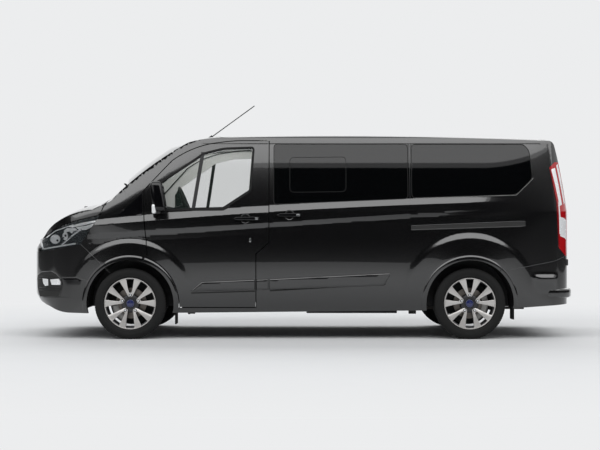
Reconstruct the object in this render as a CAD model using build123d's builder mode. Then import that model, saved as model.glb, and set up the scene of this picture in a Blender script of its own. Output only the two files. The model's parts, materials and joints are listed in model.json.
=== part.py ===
from build123d import *
import os
from math import asin, cos, degrees, hypot, radians, sin, tan

os.makedirs("parts", exist_ok=True)

# Long-wheelbase minibus. Millimetres, +Z up, the vehicle's front towards -X, its left side
# towards -Y, and the origin on the ground under the middle of its length.

# ---- Overall size -------------------------------------------------------------------
LENGTH = 5340
WIDTH = 1986
ROOF_HEIGHT = 2030
WHEELBASE = 3300
FRONT_OVERHANG = 1004
TRACK = 1730
NOSE_X = -LENGTH / 2
TAIL_X = LENGTH / 2
FRONT_AXLE_X = NOSE_X + FRONT_OVERHANG
REAR_AXLE_X = FRONT_AXLE_X + WHEELBASE
HALF_W = WIDTH / 2

# ---- Wheels -------------------------------------------------------------------------
TYRE_R = 345
TYRE_WIDTH = 222
RIM_R = 250
BEAD_R = 238
ARCH_R = 422
SPOKES = 10
DISC_R = 150
WHEEL_Y = TRACK / 2
KINGPIN_Y = WHEEL_Y - 78
SPINDLE_R = 24

# ---- Walls and clearances -----------------------------------------------------------
WALL = 55
GLASS = 7
SEAT_GAP = 0.3
SHUT_GAP = 9
SWING_GAP = 16
LEDGE = 16
FLANGE = 12
LINER = 6

# ---- Body envelope ------------------------------------------------------------------
CROWN_R = 6500
CROWN_AXIS = Axis((0, 0, ROOF_HEIGHT - CROWN_R), (1, 0, 0))
CROWN_TURN = 14
TOP_Z = ROOF_HEIGHT + 80
UNDER_Z = -200
SILL_Z = 255
BELT_Z = 1240
BELT_TAPER = 8.3
BUMPER_STEP = 34
BACK_X = TAIL_X - BUMPER_STEP

# Outlines list end, middle, end, middle... of their arcs; None in the middle is a straight line.
PROFILE_XZ = [
    (NOSE_X, UNDER_Z), None,
    (NOSE_X, 640), (NOSE_X + 12, 800),
    (NOSE_X + 42, 940), (NOSE_X + 250, 1186),
    (NOSE_X + 632, 1335), None,
    (NOSE_X + 816, 1420), None,
    (NOSE_X + 884, 1490), (NOSE_X + 1206, 1752),
    (NOSE_X + 1560, 1972), (NOSE_X + 1720, 2006),
    (NOSE_X + 1960, ROOF_HEIGHT - 10.5), (TAIL_X - 1810, ROOF_HEIGHT - 2.7),
    (TAIL_X - 240, ROOF_HEIGHT - 42), (TAIL_X - 208, ROOF_HEIGHT - 64),
    (TAIL_X - 190, ROOF_HEIGHT - 100), (TAIL_X - 92, 1480),
    (BACK_X, 800), None,
    (BACK_X, UNDER_Z), None,
]
PLAN_HALF_XY = [
    (NOSE_X, 0), (NOSE_X + 3.5, -250),
    (NOSE_X + 14, -500), (NOSE_X + 32, -616),
    (NOSE_X + 62, -720), (NOSE_X + 170, -846),
    (NOSE_X + 420, -918), (NOSE_X + 780, -966),
    (NOSE_X + 1160, 6 - HALF_W), (0, -HALF_W - 12),
    (TAIL_X - 1100, 2 - HALF_W), (TAIL_X - 600, 20 - HALF_W),
    (TAIL_X - 240, 58 - HALF_W), (TAIL_X - 100, 130 - HALF_W),
    (TAIL_X - 56, 250 - HALF_W), (TAIL_X - 40, -380),
    (BACK_X, 0),
]
SECTION_HALF_YZ = [
    (0, UNDER_Z), None,
    (HALF_W - 58, UNDER_Z), None,
    (HALF_W - 53, SILL_Z), (HALF_W, 770),
    (HALF_W - 36, BELT_Z), (HALF_W - 78, 1575),
    (HALF_W - 142, 1900), (HALF_W - 168, 1966),
    (HALF_W - 232, 2014), None,
    (0, ROOF_HEIGHT + 60),
]


def both_halves(half, flip_x, flip_y):
    """The closed outline of a half outline whose two ends lie on its axis."""
    other = [point and (point[0] * flip_x, point[1] * flip_y) for point in reversed(half[1:-1])]
    return half + other


def unit(start, end):
    run = hypot(end[0] - start[0], end[1] - start[1])
    return (end[0] - start[0]) / run, (end[1] - start[1]) / run


def drawn_in(outline, inset):
    """The outline with every point moved inwards by inset, square to its neighbours."""
    real = [i for i, point in enumerate(outline) if point]
    area = sum(
        outline[a][0] * outline[b][1] - outline[b][0] * outline[a][1]
        for a, b in zip(real, real[1:] + real[:1])
    )
    turn = 1 if area > 0 else -1
    moved = list(outline)
    for k, i in enumerate(real):
        here = outline[i]
        ax, ay = unit(outline[real[k - 1]], here)
        bx, by = unit(here, outline[real[(k + 1) % len(real)]])
        share = turn * inset / (1 + ax * bx + ay * by)
        moved[i] = (here[0] - (ay + by) * share, here[1] + (ax + bx) * share)
    return moved


def filled(outline):
    """The flat face inside the outline's lines and arcs."""
    with BuildSketch() as face:
        with BuildLine():
            for i in range(0, len(outline), 2):
                start, middle, end = outline[i], outline[i + 1], outline[(i + 2) % len(outline)]
                if middle:
                    ThreePointArc(start, middle, end)
                else:
                    Line(start, end)
        make_face()
    return face.sketch


def envelope(inset):
    """The closed outer shape of the body, drawn in from its skin by inset."""
    plan_outline = both_halves(PLAN_HALF_XY, 1, -1)
    lean = (TOP_Z - BELT_Z) * tan(radians(BELT_TAPER))
    with BuildPart() as house:
        with BuildSketch(Plane.XY.offset(BELT_Z)):
            add(filled(drawn_in(plan_outline, inset)))
        with BuildSketch(Plane.XY.offset(TOP_Z)):
            add(filled(drawn_in(plan_outline, inset + lean)))
        loft(ruled=True)
        with BuildSketch(Plane.XY.offset(UNDER_Z)):
            add(filled(drawn_in(plan_outline, inset)))
        extrude(amount=BELT_Z - UNDER_Z)
    with BuildPart() as crown:
        with BuildSketch(Plane.XZ):
            add(filled(drawn_in(PROFILE_XZ, inset)))
        revolve(axis=CROWN_AXIS, revolution_arc=2 * CROWN_TURN)
    with BuildPart() as hull:
        with BuildSketch(Plane.YZ):
            add(filled(drawn_in(both_halves(SECTION_HALF_YZ, -1, 1), inset)))
        extrude(amount=LENGTH, both=True)
        add(crown.part.rotate(CROWN_AXIS, -CROWN_TURN), mode=Mode.INTERSECT)
        add(house.part, mode=Mode.INTERSECT)
    return hull.part


def lines(*points):
    """An outline of straight lines only."""
    outline = []
    for point in points:
        outline += [point, None]
    return outline


def side_prism(outline, grow=0, y_from=0, y_to=1200, corner=0):
    """The outline, grown, pushed through the left side between two distances from the middle."""
    with BuildPart() as prism:
        with BuildSketch(Plane.XZ.offset(y_from)) as face:
            add(filled(drawn_in(outline, -grow)))
            if corner:
                fillet(face.vertices(), radius=corner)
        extrude(amount=y_to - y_from)
    return prism.part


def arch_point(axle_x, radius, angle):
    """A point at an angle above the horizontal on a circle round a wheel's centre."""
    return axle_x + radius * cos(radians(angle)), TYRE_R + radius * sin(radians(angle))


def rim_angle(radius, height):
    return degrees(asin((height - TYRE_R) / radius))


# ---- Side outlines, X and Z, as seen from the left ------------------------------------
SEAM = 0.4
DOOR_BOTTOM_Z = 312
DOOR_TOP_Z = 1930
ROOF_SPLIT_Z = 1952
DOOR_FRONT_X = -1530
B_LINE_X = -322
SLIDE_REAR_X = 1052
DOOR_ARC_R = 480
PILLAR_BASE = (DOOR_FRONT_X, 1446)
DOOR_FOOT_ANGLE = rim_angle(DOOR_ARC_R, DOOR_BOTTOM_Z)
DOOR_HEEL_ANGLE = 68
FRONT_DOOR = [
    (DOOR_FRONT_X, BELT_Z), None,
    PILLAR_BASE, None,
    (-1266, 1731), (-1060, 1848),
    (-800, 1912), (-680, 1926),
    (-540, DOOR_TOP_Z), None,
    (B_LINE_X, DOOR_TOP_Z), None,
    (B_LINE_X, 940), None,
    (B_LINE_X - 126, 829), None,
    (B_LINE_X - 126, DOOR_BOTTOM_Z), None,
    arch_point(FRONT_AXLE_X, DOOR_ARC_R, DOOR_FOOT_ANGLE),
    arch_point(FRONT_AXLE_X, DOOR_ARC_R, (DOOR_FOOT_ANGLE + DOOR_HEEL_ANGLE) / 2),
    arch_point(FRONT_AXLE_X, DOOR_ARC_R, DOOR_HEEL_ANGLE), None,
]
SLIDING_DOOR = [
    (B_LINE_X + SHUT_GAP, DOOR_BOTTOM_Z), None,
    (SLIDE_REAR_X - 86, DOOR_BOTTOM_Z), (SLIDE_REAR_X - 24, 700),
    (SLIDE_REAR_X, 1090), None,
    (SLIDE_REAR_X, DOOR_TOP_Z), None,
    (B_LINE_X + SHUT_GAP, DOOR_TOP_Z), None,
]
DOOR_WINDOW = lines(
    (-467, 1868), (-760, 1858), (-950, 1812), (-1380, 1520),
    (-1420, 1450), (-1420, 1252), (-760, 1268), (-497, 1440),
)
SLIDE_WINDOW = lines((-271, 1900), (-271, 1310), (1034, 1364), (1034, 1900))
QUARTER_WINDOW = lines((1070, 1898), (1070, 1372), (2090, 1404), (2250, 1560), (2222, 1840), (2170, 1898))
CORNER_WINDOW = lines((-1790, 1196), (DOOR_FRONT_X - 20, 1196), (DOOR_FRONT_X - 20, 1420))
HEADLAMP = lines(
    (-2591, 928), (-2547, 852), (-2153, 916), (-2110, 985), (-2045, 1076), (-1966, 1196),
    (-2225, 1138), (-2416, 1059), (-2528, 981), (-2700, 905), (-2700, 870),
)
BONNET_REAR_X = -1915
BONNET = lines(
    (-2700, 915), (-2640, 938), (-2528, 991), (-2416, 1069), (-2225, 1148), (-1961, 1210),
    (BONNET_REAR_X, 1330), (BONNET_REAR_X, 1600), (-2700, 1600),
)
SWING_ROOM = lines(
    (BONNET_REAR_X - 5, 1300), (BONNET_REAR_X + SWING_GAP, 1300),
    (BONNET_REAR_X + SWING_GAP, 1600), (BONNET_REAR_X - 5, 1600),
)
FENDER_HEAD = (-2153, 922)
FENDER_FOOT = (-1850, 642)
A_BASE_FRONT = (-1824, 1180)
FENDER = lines(
    FENDER_HEAD, (-2110, 985), (-2045, 1076), (-1961, 1202), (-1961, 1210), (BONNET_REAR_X, 1330),
    (BONNET_REAR_X, 1600), (-1790, 1500), (-1720, 1432), (-1652, 1368), A_BASE_FRONT,
    (DOOR_FRONT_X - SHUT_GAP, 1180), (DOOR_FRONT_X - SHUT_GAP, 642), FENDER_FOOT,
)
SIDE = lines(
    (DOOR_FRONT_X - SHUT_GAP, UNDER_Z), (DOOR_FRONT_X - SHUT_GAP, 1180), A_BASE_FRONT,
    (-1652, 1368), (-1720, 1432), (-1790, 1500), (-1790, ROOF_SPLIT_Z), (2800, ROOF_SPLIT_Z),
    (2800, 805), (2581, 805), (2436, 752), (1986, 668), (1900, 640), (1900, UNDER_Z),
)
TAIL_LAMP = lines((2474, 1724), (2418, 1667), (2481, 1328), (2500, 893), (2581, 805), (2800, 805), (2800, 1724))
REAR_BUMPER = lines((1900, UNDER_Z), (1900, 640), (1986, 668), (2436, 752), (2581, 805), (2800, 805), (2800, UNDER_Z))
FRONT_BUMPER = lines(
    (-2800, UNDER_Z), (-2800, 905), (-2640, 930), (-2591, 928), (-2547, 852), (-2153, 916),
    FENDER_HEAD, FENDER_FOOT, (FRONT_AXLE_X, 642), (FRONT_AXLE_X, UNDER_Z),
)
ABOVE_SILL = lines(
    (-2800, 400), (-2560, 262), (-2080, 250), (-1190, 255), (1150, 277), (2070, 300), (2640, 340), (2800, 345),
    (2800, 2200), (-2800, 2200),
)

# ---- Front and rear limits across the car ----------------------------------------------
TAILGATE_X = 2400
TAILGATE_HALF_W = 790
TAILGATE_BOTTOM_Z = 500
GRILLE_HALF_W = 440
GRILLE_Z = (700, 880)
LAMP_INNER_Y = 500
COWL_HALF_W = 640
WINDSCREEN_YZ = lines((-800, 1482), (800, 1482), (700, 1940), (-700, 1940))


pieces = {}


def keep(label, solid):
    solid.label = label
    pieces[label] = solid


def keep_pair(stem, left):
    """Keeps a left piece and its mirror image on the right."""
    keep(stem + "_left", left)
    keep(stem + "_right", left.mirror(Plane.XZ))


def wheel_wells(radius, inner_y):
    """Four round wells, one at each wheel, from inner_y outwards."""
    with BuildPart() as wells:
        for axle_x in (FRONT_AXLE_X, REAR_AXLE_X):
            for side in (1, -1):
                with BuildSketch(Plane.XZ.offset(side * inner_y)):
                    with Locations((axle_x, TYRE_R)):
                        Circle(radius)
                extrude(amount=side * 700)
    return wells.part


# ---- Layers of the wall ----------------------------------------------------------------
outer = envelope(0)
glass_back = envelope(GLASS)
ledge_front = envelope(GLASS + SEAT_GAP)
flange_front = envelope(WALL - FLANGE)
door_back = envelope(WALL - FLANGE - SEAT_GAP)
inner = envelope(WALL)

with BuildPart() as sill_line:
    with BuildSketch(Plane.XZ):
        add(filled(ABOVE_SILL))
    extrude(amount=WIDTH, both=True)

with BuildPart() as skin:
    add(outer)
    add(inner, mode=Mode.SUBTRACT)
    add(sill_line.part, mode=Mode.INTERSECT)
    add(wheel_wells(ARCH_R, 450), mode=Mode.SUBTRACT)

with BuildPart() as glass_layer:
    add(outer)
    add(glass_back, mode=Mode.SUBTRACT)

with BuildPart() as rim_layer:
    add(outer)
    add(ledge_front, mode=Mode.SUBTRACT)


def glazed_opening(outline, corner, mask=side_prism):
    """The cut for a pane: its outline down to the ledge, and a smaller hole right through."""
    with BuildPart() as cut:
        add(mask(outline, SEAM, corner=corner))
        add(rim_layer.part, mode=Mode.INTERSECT)
        add(mask(outline, -LEDGE, corner=corner))
    return cut.part


def pane(outline, corner, mask=side_prism):
    with BuildPart() as sheet:
        add(mask(outline, -SEAM, corner=corner))
        add(glass_layer.part, mode=Mode.INTERSECT)
    return sheet.part


def cut_from_skin(outline, grow=-SEAM, y_from=0, y_to=1200):
    with BuildPart() as panel:
        add(side_prism(outline, grow, y_from, y_to))
        add(skin.part, mode=Mode.INTERSECT)
    return panel


def across_prism(outline, grow=0, corner=0):
    """A front or rear outline, Y and Z, pushed along the front half of the car."""
    with BuildPart() as prism:
        with BuildSketch(Plane.YZ.offset(NOSE_X)) as face:
            add(filled(drawn_in(outline, -grow)))
            if corner:
                fillet(face.vertices(), radius=corner)
        extrude(amount=2200)
    return prism.part


screen_opening = glazed_opening(WINDSCREEN_YZ, 40, across_prism)

# ---- Body side --------------------------------------------------------------------------
HINGE_X = -1470
HINGE_Y = 975
HINGE_R = 8
HINGE_FOOT_Z = 722
HINGE_TOP_Z = 850
BORE_GAP = 0.08
DOOR_LIP = 12
FLANGE_STEP = 26

with BuildPart() as side_panel:
    add(cut_from_skin(SIDE).part)
    with Locations((-900, 0, ROOF_SPLIT_Z)):
        Box(
            1000, 2 * (COWL_HALF_W + SEAM), 900,
            align=(Align.MAX, Align.CENTER, Align.MAX), mode=Mode.SUBTRACT,
        )
    add(side_prism(FRONT_DOOR, SHUT_GAP), mode=Mode.SUBTRACT)
    with BuildPart(mode=Mode.PRIVATE) as slide_seat:
        add(side_prism(SLIDING_DOOR, SEAM))
        add(flange_front, mode=Mode.SUBTRACT)
        add(side_prism(SLIDING_DOOR, -FLANGE_STEP))
    add(slide_seat.part, mode=Mode.SUBTRACT)
    add(glazed_opening(QUARTER_WINDOW, 40), mode=Mode.SUBTRACT)
    add(glazed_opening(CORNER_WINDOW, 10), mode=Mode.SUBTRACT)
    add(screen_opening, mode=Mode.SUBTRACT)
    add(side_prism(TAIL_LAMP, SEAM), mode=Mode.SUBTRACT)
    with BuildPart(mode=Mode.PRIVATE) as tailgate_bay:
        with Locations((TAILGATE_X - SWING_GAP, 0, TAILGATE_BOTTOM_Z - SHUT_GAP)):
            Box(600, 2 * (TAILGATE_HALF_W + SHUT_GAP), 2000, align=(Align.MIN, Align.CENTER, Align.MIN))
    add(tailgate_bay.part, mode=Mode.SUBTRACT)
    with Locations((HINGE_X, -HINGE_Y, HINGE_FOOT_Z)):
        Cylinder(HINGE_R, HINGE_TOP_Z - HINGE_FOOT_Z, align=(Align.CENTER, Align.CENTER, Align.MIN))
keep_pair("side_panel", side_panel.part)

with BuildPart() as front_fender:
    add(cut_from_skin(FENDER, y_from=COWL_HALF_W + SEAM).part)
    add(side_prism(HEADLAMP, SEAM), mode=Mode.SUBTRACT)
    add(side_prism(BONNET, SHUT_GAP), mode=Mode.SUBTRACT)
    add(side_prism(SWING_ROOM), mode=Mode.SUBTRACT)
    add(screen_opening, mode=Mode.SUBTRACT)
keep_pair("front_fender", front_fender.part)

# ---- Doors -------------------------------------------------------------------------------
with BuildPart() as front_door:
    add(cut_from_skin(FRONT_DOOR, 0).part)
    with BuildPart(mode=Mode.PRIVATE) as lip:
        add(side_prism(FRONT_DOOR, 50))
        add(side_prism(FRONT_DOOR, -DOOR_LIP), mode=Mode.SUBTRACT)
        add(envelope(WALL / 2), mode=Mode.INTERSECT)
    add(lip.part, mode=Mode.SUBTRACT)
    add(glazed_opening(DOOR_WINDOW, 30), mode=Mode.SUBTRACT)
    with Locations((HINGE_X, -HINGE_Y, HINGE_FOOT_Z)):
        Cylinder(
            HINGE_R + BORE_GAP, HINGE_TOP_Z + 5 - HINGE_FOOT_Z,
            align=(Align.CENTER, Align.CENTER, Align.MIN), mode=Mode.SUBTRACT,
        )
keep_pair("front_door", front_door.part)
keep_pair("front_door_glass", pane(DOOR_WINDOW, 30))

with BuildPart() as sliding_door:
    add(cut_from_skin(SLIDING_DOOR, 0).part)
    add(door_back, mode=Mode.SUBTRACT)
    add(glazed_opening(SLIDE_WINDOW, 35), mode=Mode.SUBTRACT)
keep_pair("sliding_door", sliding_door.part)

# ---- Fixed glass -------------------------------------------------------------------------
with BuildPart() as side_glass_left:
    add(pane(SLIDE_WINDOW, 35))
    add(pane(QUARTER_WINDOW, 40))
    add(pane(CORNER_WINDOW, 10))
keep_pair("side_glass", side_glass_left.part)

with BuildPart() as windscreen:
    add(across_prism(WINDSCREEN_YZ, -SEAM, 40))
    add(glass_layer.part, mode=Mode.INTERSECT)
keep("windscreen", windscreen.part)

# ---- Roof and cowl -----------------------------------------------------------------------
ROOF_XZ = lines(
    (-1300, 1880), (-900, 1880), (-900, ROOF_SPLIT_Z + SEAM), (TAILGATE_X - SWING_GAP, ROOF_SPLIT_Z + SEAM),
    (TAILGATE_X - SWING_GAP, 2200), (-1300, 2200),
)
HEADER = lines((-1400, 1800), (-900, 1800), (-900, ROOF_SPLIT_Z + SEAM), (-1400, ROOF_SPLIT_Z + SEAM))
RACK_X = (-500, 1900)
RACK_Y = 750
RACK_HOLE_R = 4
RACK_HOLE_FOOT_Z = 1940
with BuildPart() as roof_panel:
    add(cut_from_skin(ROOF_XZ, 0, -WIDTH / 2, WIDTH / 2).part)
    for side in (1, -1):
        # the header over the windscreen stops at the pillars
        add(side_prism(HEADER, 0, side * COWL_HALF_W, side * WIDTH), mode=Mode.SUBTRACT)
    add(screen_opening, mode=Mode.SUBTRACT)
    for x in RACK_X:
        with Locations((x, RACK_Y, RACK_HOLE_FOOT_Z), (x, -RACK_Y, RACK_HOLE_FOOT_Z)):
            Cylinder(RACK_HOLE_R, 200, align=(Align.CENTER, Align.CENTER, Align.MIN), mode=Mode.SUBTRACT)
keep("roof_panel", roof_panel.part)

COWL = lines(
    (BONNET_REAR_X + SWING_GAP, 1200), (BONNET_REAR_X + SWING_GAP, 1500), (-1800, 1560), (-1650, 1560), (-1650, 1200),
)
with BuildPart() as cowl_panel:
    add(cut_from_skin(COWL, 0, -COWL_HALF_W, COWL_HALF_W).part)
    add(screen_opening, mode=Mode.SUBTRACT)
keep("cowl_panel", cowl_panel.part)

# ---- Bonnet ------------------------------------------------------------------------------
PIVOT_Y = 200
PIVOT_R = 6
PIVOT_REACH = 45
TONGUE_W = 30
BONNET_PIVOT = (BONNET_REAR_X - 20, 1371)
TAILGATE_PIVOT = (TAILGATE_X + 14, 1974)

with BuildPart() as bonnet:
    add(cut_from_skin(BONNET, -SEAM, -WIDTH / 2, WIDTH / 2).part)
    for side in (1, -1):
        # a slot for the body's hinge tongue, with a bore on each side of it
        with Locations((BONNET_REAR_X, side * PIVOT_Y, BONNET_PIVOT[1] - 10)):
            Box(80, TONGUE_W + 12, 200, mode=Mode.SUBTRACT)
        with Locations((BONNET_PIVOT[0], side * PIVOT_Y, BONNET_PIVOT[1])):
            Cylinder(PIVOT_R + BORE_GAP, 2 * PIVOT_REACH + 4, rotation=(90, 0, 0), mode=Mode.SUBTRACT)
keep("bonnet", bonnet.part)

# ---- Tailgate ----------------------------------------------------------------------------
TAIL_WINDOW_YZ = lines((-640, 1330), (640, 1330), (600, 1850), (-600, 1850))


def rear_prism(outline, grow=0, corner=0):
    """A rear outline, Y and Z, pushed through the tailgate."""
    with BuildPart() as prism:
        with BuildSketch(Plane.YZ.offset(TAILGATE_X + 30)) as face:
            add(filled(drawn_in(outline, -grow)))
            if corner:
                fillet(face.vertices(), radius=corner)
        extrude(amount=400)
    return prism.part


with BuildPart() as tailgate:
    with Locations((TAILGATE_X, 0, TAILGATE_BOTTOM_Z)):
        Box(400, 2 * TAILGATE_HALF_W, 1600, align=(Align.MIN, Align.CENTER, Align.MIN))
    add(skin.part, mode=Mode.INTERSECT)
    add(glazed_opening(TAIL_WINDOW_YZ, 50, rear_prism), mode=Mode.SUBTRACT)
    for side in (1, -1):
        with Locations((TAILGATE_X, side * PIVOT_Y, TAILGATE_PIVOT[1])):
            Box(80, TONGUE_W + 12, 200, mode=Mode.SUBTRACT)
        with Locations((TAILGATE_PIVOT[0], side * PIVOT_Y, TAILGATE_PIVOT[1])):
            Cylinder(PIVOT_R + BORE_GAP, 2 * PIVOT_REACH + 4, rotation=(90, 0, 0), mode=Mode.SUBTRACT)
keep("tailgate", tailgate.part)
keep("tailgate_glass", pane(TAIL_WINDOW_YZ, 50, rear_prism))


def hinge_tongues(pivot, start_x):
    """Two flat tongues that reach from the body to a pivot line, each with its pin across it."""
    with BuildPart() as tongues:
        for side in (1, -1):
            with Locations(((start_x + pivot[0]) / 2, side * PIVOT_Y, pivot[1])):
                Box(abs(start_x - pivot[0]) + 4, TONGUE_W, 2 * PIVOT_R)
            with Locations((pivot[0], side * PIVOT_Y, pivot[1])):
                Cylinder(PIVOT_R, 2 * PIVOT_REACH, rotation=(90, 0, 0))
    return tongues.part


with BuildPart() as hinged_roof:
    add(roof_panel.part)
    add(hinge_tongues(TAILGATE_PIVOT, TAILGATE_X - SWING_GAP - 4))
keep("roof_panel", hinged_roof.part)
with BuildPart() as hinged_cowl:
    add(cowl_panel.part)
    add(hinge_tongues(BONNET_PIVOT, BONNET_REAR_X + SWING_GAP + 4))
keep("cowl_panel", hinged_cowl.part)

# ---- Lamps, grille and bumpers -------------------------------------------------------------
with BuildPart() as lamps:
    add(cut_from_skin(HEADLAMP, -SEAM, LAMP_INNER_Y, WIDTH / 2).part)
    add(side_prism(BONNET, SHUT_GAP), mode=Mode.SUBTRACT)
    mirror(about=Plane.XZ)
keep("headlamps", lamps.part)

with BuildPart() as tail_lamps:
    add(cut_from_skin(TAIL_LAMP, -SEAM, TAILGATE_HALF_W + SHUT_GAP, WIDTH / 2).part)
    mirror(about=Plane.XZ)
keep("tail_lamps", tail_lamps.part)

GRILLE_BARS = 5
TOW_R = 8
TOW_SEAT_R = 22
TOW_DEPTH = 40
TOW_FRONT = (-2640, 560, 420)
TOW_REAR = (2648, 520, 400)
with BuildPart() as grille:
    with Locations((NOSE_X, 0, (GRILLE_Z[0] + GRILLE_Z[1]) / 2)):
        Box(300, 2 * GRILLE_HALF_W, GRILLE_Z[1] - GRILLE_Z[0])
    pitch = (GRILLE_Z[1] - GRILLE_Z[0] - 20) / GRILLE_BARS
    for row in range(GRILLE_BARS):
        with Locations((NOSE_X, 0, GRILLE_Z[0] + 10 + pitch * (row + 0.5))):
            Box(300, 2 * GRILLE_HALF_W - 40, pitch - 14, mode=Mode.SUBTRACT)
    add(skin.part, mode=Mode.INTERSECT)
keep("grille", grille.part)

with BuildPart() as front_bumper:
    add(cut_from_skin(FRONT_BUMPER, -SEAM, -WIDTH / 2, WIDTH / 2).part)
    add(lamps.part, mode=Mode.SUBTRACT)
    add(side_prism(BONNET, SHUT_GAP, -WIDTH / 2, WIDTH / 2), mode=Mode.SUBTRACT)
    with Locations((NOSE_X, 0, (GRILLE_Z[0] + GRILLE_Z[1]) / 2)):
        Box(400, 2 * (GRILLE_HALF_W + SEAM), GRILLE_Z[1] - GRILLE_Z[0] + 2 * SEAM, mode=Mode.SUBTRACT)
    # screw-in towing eye socket
    with Locations(Pos(*TOW_FRONT) * Rotation(0, 90, 0)):
        Cylinder(TOW_SEAT_R, 60, align=(Align.CENTER, Align.CENTER, Align.MAX), mode=Mode.SUBTRACT)
        Cylinder(TOW_R, TOW_DEPTH, align=(Align.CENTER, Align.CENTER, Align.MIN), mode=Mode.SUBTRACT)
keep("front_bumper", front_bumper.part)

STEP_Z = (335, 470)
with BuildPart() as rear_bumper:
    add(cut_from_skin(REAR_BUMPER, -SEAM, -WIDTH / 2, WIDTH / 2).part)
    with BuildPart(mode=Mode.PRIVATE) as gate_bay:
        with Locations((TAILGATE_X - SWING_GAP, 0, TAILGATE_BOTTOM_Z - SHUT_GAP)):
            Box(600, 2 * (TAILGATE_HALF_W + SHUT_GAP), 2000, align=(Align.MIN, Align.CENTER, Align.MIN))
    add(gate_bay.part, mode=Mode.SUBTRACT)
    with BuildPart(mode=Mode.PRIVATE) as step:
        with BuildSketch(Plane.XY.offset(STEP_Z[0])):
            add(filled([
                (2500, -820), (2610, -735),
                (TAIL_X - 12, -560), (TAIL_X, 0),
                (TAIL_X - 12, 560), (2610, 735),
                (2500, 820), None,
            ]))
        extrude(amount=STEP_Z[1] - STEP_Z[0])
        add(envelope(10), mode=Mode.SUBTRACT)
    add(step.part)
    with Locations(Pos(*TOW_REAR) * Rotation(0, 90, 0)):
        Cylinder(TOW_SEAT_R, 60, align=(Align.CENTER, Align.CENTER, Align.MIN), mode=Mode.SUBTRACT)
        Cylinder(TOW_R, TOW_DEPTH, align=(Align.CENTER, Align.CENTER, Align.MAX), mode=Mode.SUBTRACT)
keep("rear_bumper", rear_bumper.part)

# ---- Floor, liners and bulkhead ------------------------------------------------------------
FLOOR_Z = (400, 440)
LINER_FOOT_Z = 300
AXLE_HOLE_R = 70
BULKHEAD_X = -1600
WELL_Y = {FRONT_AXLE_X: 556, REAR_AXLE_X: 620}
fit_inside = envelope(WALL + SEAM)

with BuildPart() as arch_room:
    for axle_x, inner_y in WELL_Y.items():
        for side in (1, -1):
            with BuildSketch(Plane.XZ.offset(side * (inner_y - LINER - 2 * SEAM))):
                with Locations((axle_x, TYRE_R)):
                    Circle(ARCH_R + LINER + 2 * SEAM)
            extrude(amount=side * 600)

with BuildPart() as arch_liners:
    for axle_x, inner_y in WELL_Y.items():
        for side in (1, -1):
            with BuildSketch(Plane.XZ.offset(side * (inner_y - LINER))):
                with Locations((axle_x, TYRE_R)):
                    Circle(ARCH_R + LINER)
            extrude(amount=side * 600)
            with BuildSketch(Plane.XZ.offset(side * inner_y)):
                with Locations((axle_x, TYRE_R)):
                    Circle(ARCH_R)
            extrude(amount=side * 600, mode=Mode.SUBTRACT)
    add(fit_inside, mode=Mode.INTERSECT)
    with Locations((REAR_AXLE_X, 0, TYRE_R)):
        Cylinder(AXLE_HOLE_R, WIDTH, rotation=(90, 0, 0), mode=Mode.SUBTRACT)
    with Locations((0, 0, LINER_FOOT_Z)):
        Box(LENGTH, WIDTH, 1400, align=(Align.CENTER, Align.CENTER, Align.MIN), mode=Mode.INTERSECT)
keep("arch_liners", arch_liners.part)

JACK_X = (-1085, 1090)
JACK_Y = 760
JACK_FOOT_Z = 236
with BuildPart() as floor_pan:
    with Locations((BULKHEAD_X, 0, FLOOR_Z[0])):
        Box(TAIL_X - BULKHEAD_X, WIDTH, FLOOR_Z[1] - FLOOR_Z[0], align=(Align.MIN, Align.CENTER, Align.MIN))
    for x in JACK_X:
        with Locations((x, JACK_Y, JACK_FOOT_Z), (x, -JACK_Y, JACK_FOOT_Z)):
            Box(70, 50, FLOOR_Z[1] - JACK_FOOT_Z, align=(Align.CENTER, Align.CENTER, Align.MIN))
    add(fit_inside, mode=Mode.INTERSECT)
    add(arch_room.part, mode=Mode.SUBTRACT)
keep("floor_pan", floor_pan.part)

BULKHEAD_TOP_Z = 1170
with BuildPart() as bulkhead:
    with Locations((BULKHEAD_X, 0, FLOOR_Z[1] + SEAM)):
        Box(30, 1700, BULKHEAD_TOP_Z - FLOOR_Z[1], align=(Align.MIN, Align.CENTER, Align.MIN))
    with Locations((BULKHEAD_X, 0, BULKHEAD_TOP_Z)):
        Box(250, 1300, 30, align=(Align.MAX, Align.CENTER, Align.MAX))
    add(fit_inside, mode=Mode.INTERSECT)
    add(arch_room.part, mode=Mode.SUBTRACT)
keep("bulkhead", bulkhead.part)

# ---- Cabin furniture -----------------------------------------------------------------------
DASH_HALF_W = 800
DASH_BACK_X = BULKHEAD_X + 30 + SEAM
DASH_XZ = lines(
    (DASH_BACK_X, 900), (DASH_BACK_X, 1240), (-1500, 1290), (-1420, 1312),
    (-1340, 1296), (-1275, 1215), (-1300, 960), (-1450, 900),
)
with BuildPart() as dashboard:
    with BuildSketch(Plane.XZ):
        add(filled(DASH_XZ))
    extrude(amount=DASH_HALF_W, both=True)
keep("dashboard", dashboard.part)

WHEEL_AXIS = Plane(origin=(-1168, -400, 1312), z_dir=(0.93, 0, 0.37))
with BuildPart() as steering_wheel:
    with BuildPart(mode=Mode.PRIVATE) as ring:
        Torus(185, 15)
        Cylinder(60, 34)
        for angle in (0, 180, 270):
            with Locations(Rotation(0, 0, angle)):
                Box(190, 34, 16, align=(Align.MIN, Align.CENTER, Align.CENTER))
        with Locations((0, 0, -90)):
            Cylinder(24, 180)
    add(WHEEL_AXIS.location * ring.part)
    add(dashboard.part, mode=Mode.SUBTRACT)
keep("steering_wheel", steering_wheel.part)

SEAT_FOOT_Z = FLOOR_Z[1] + SEAM
# x of the cushion's front, y middle, width, top of the back
FRONT_SEATS = [(-1010, -470, 500, 1225), (-1010, 330, 840, 1225)]
REAR_SEATS = [(120, 0, 1480, 1290), (1080, 0, 1200, 1290)]


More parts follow.
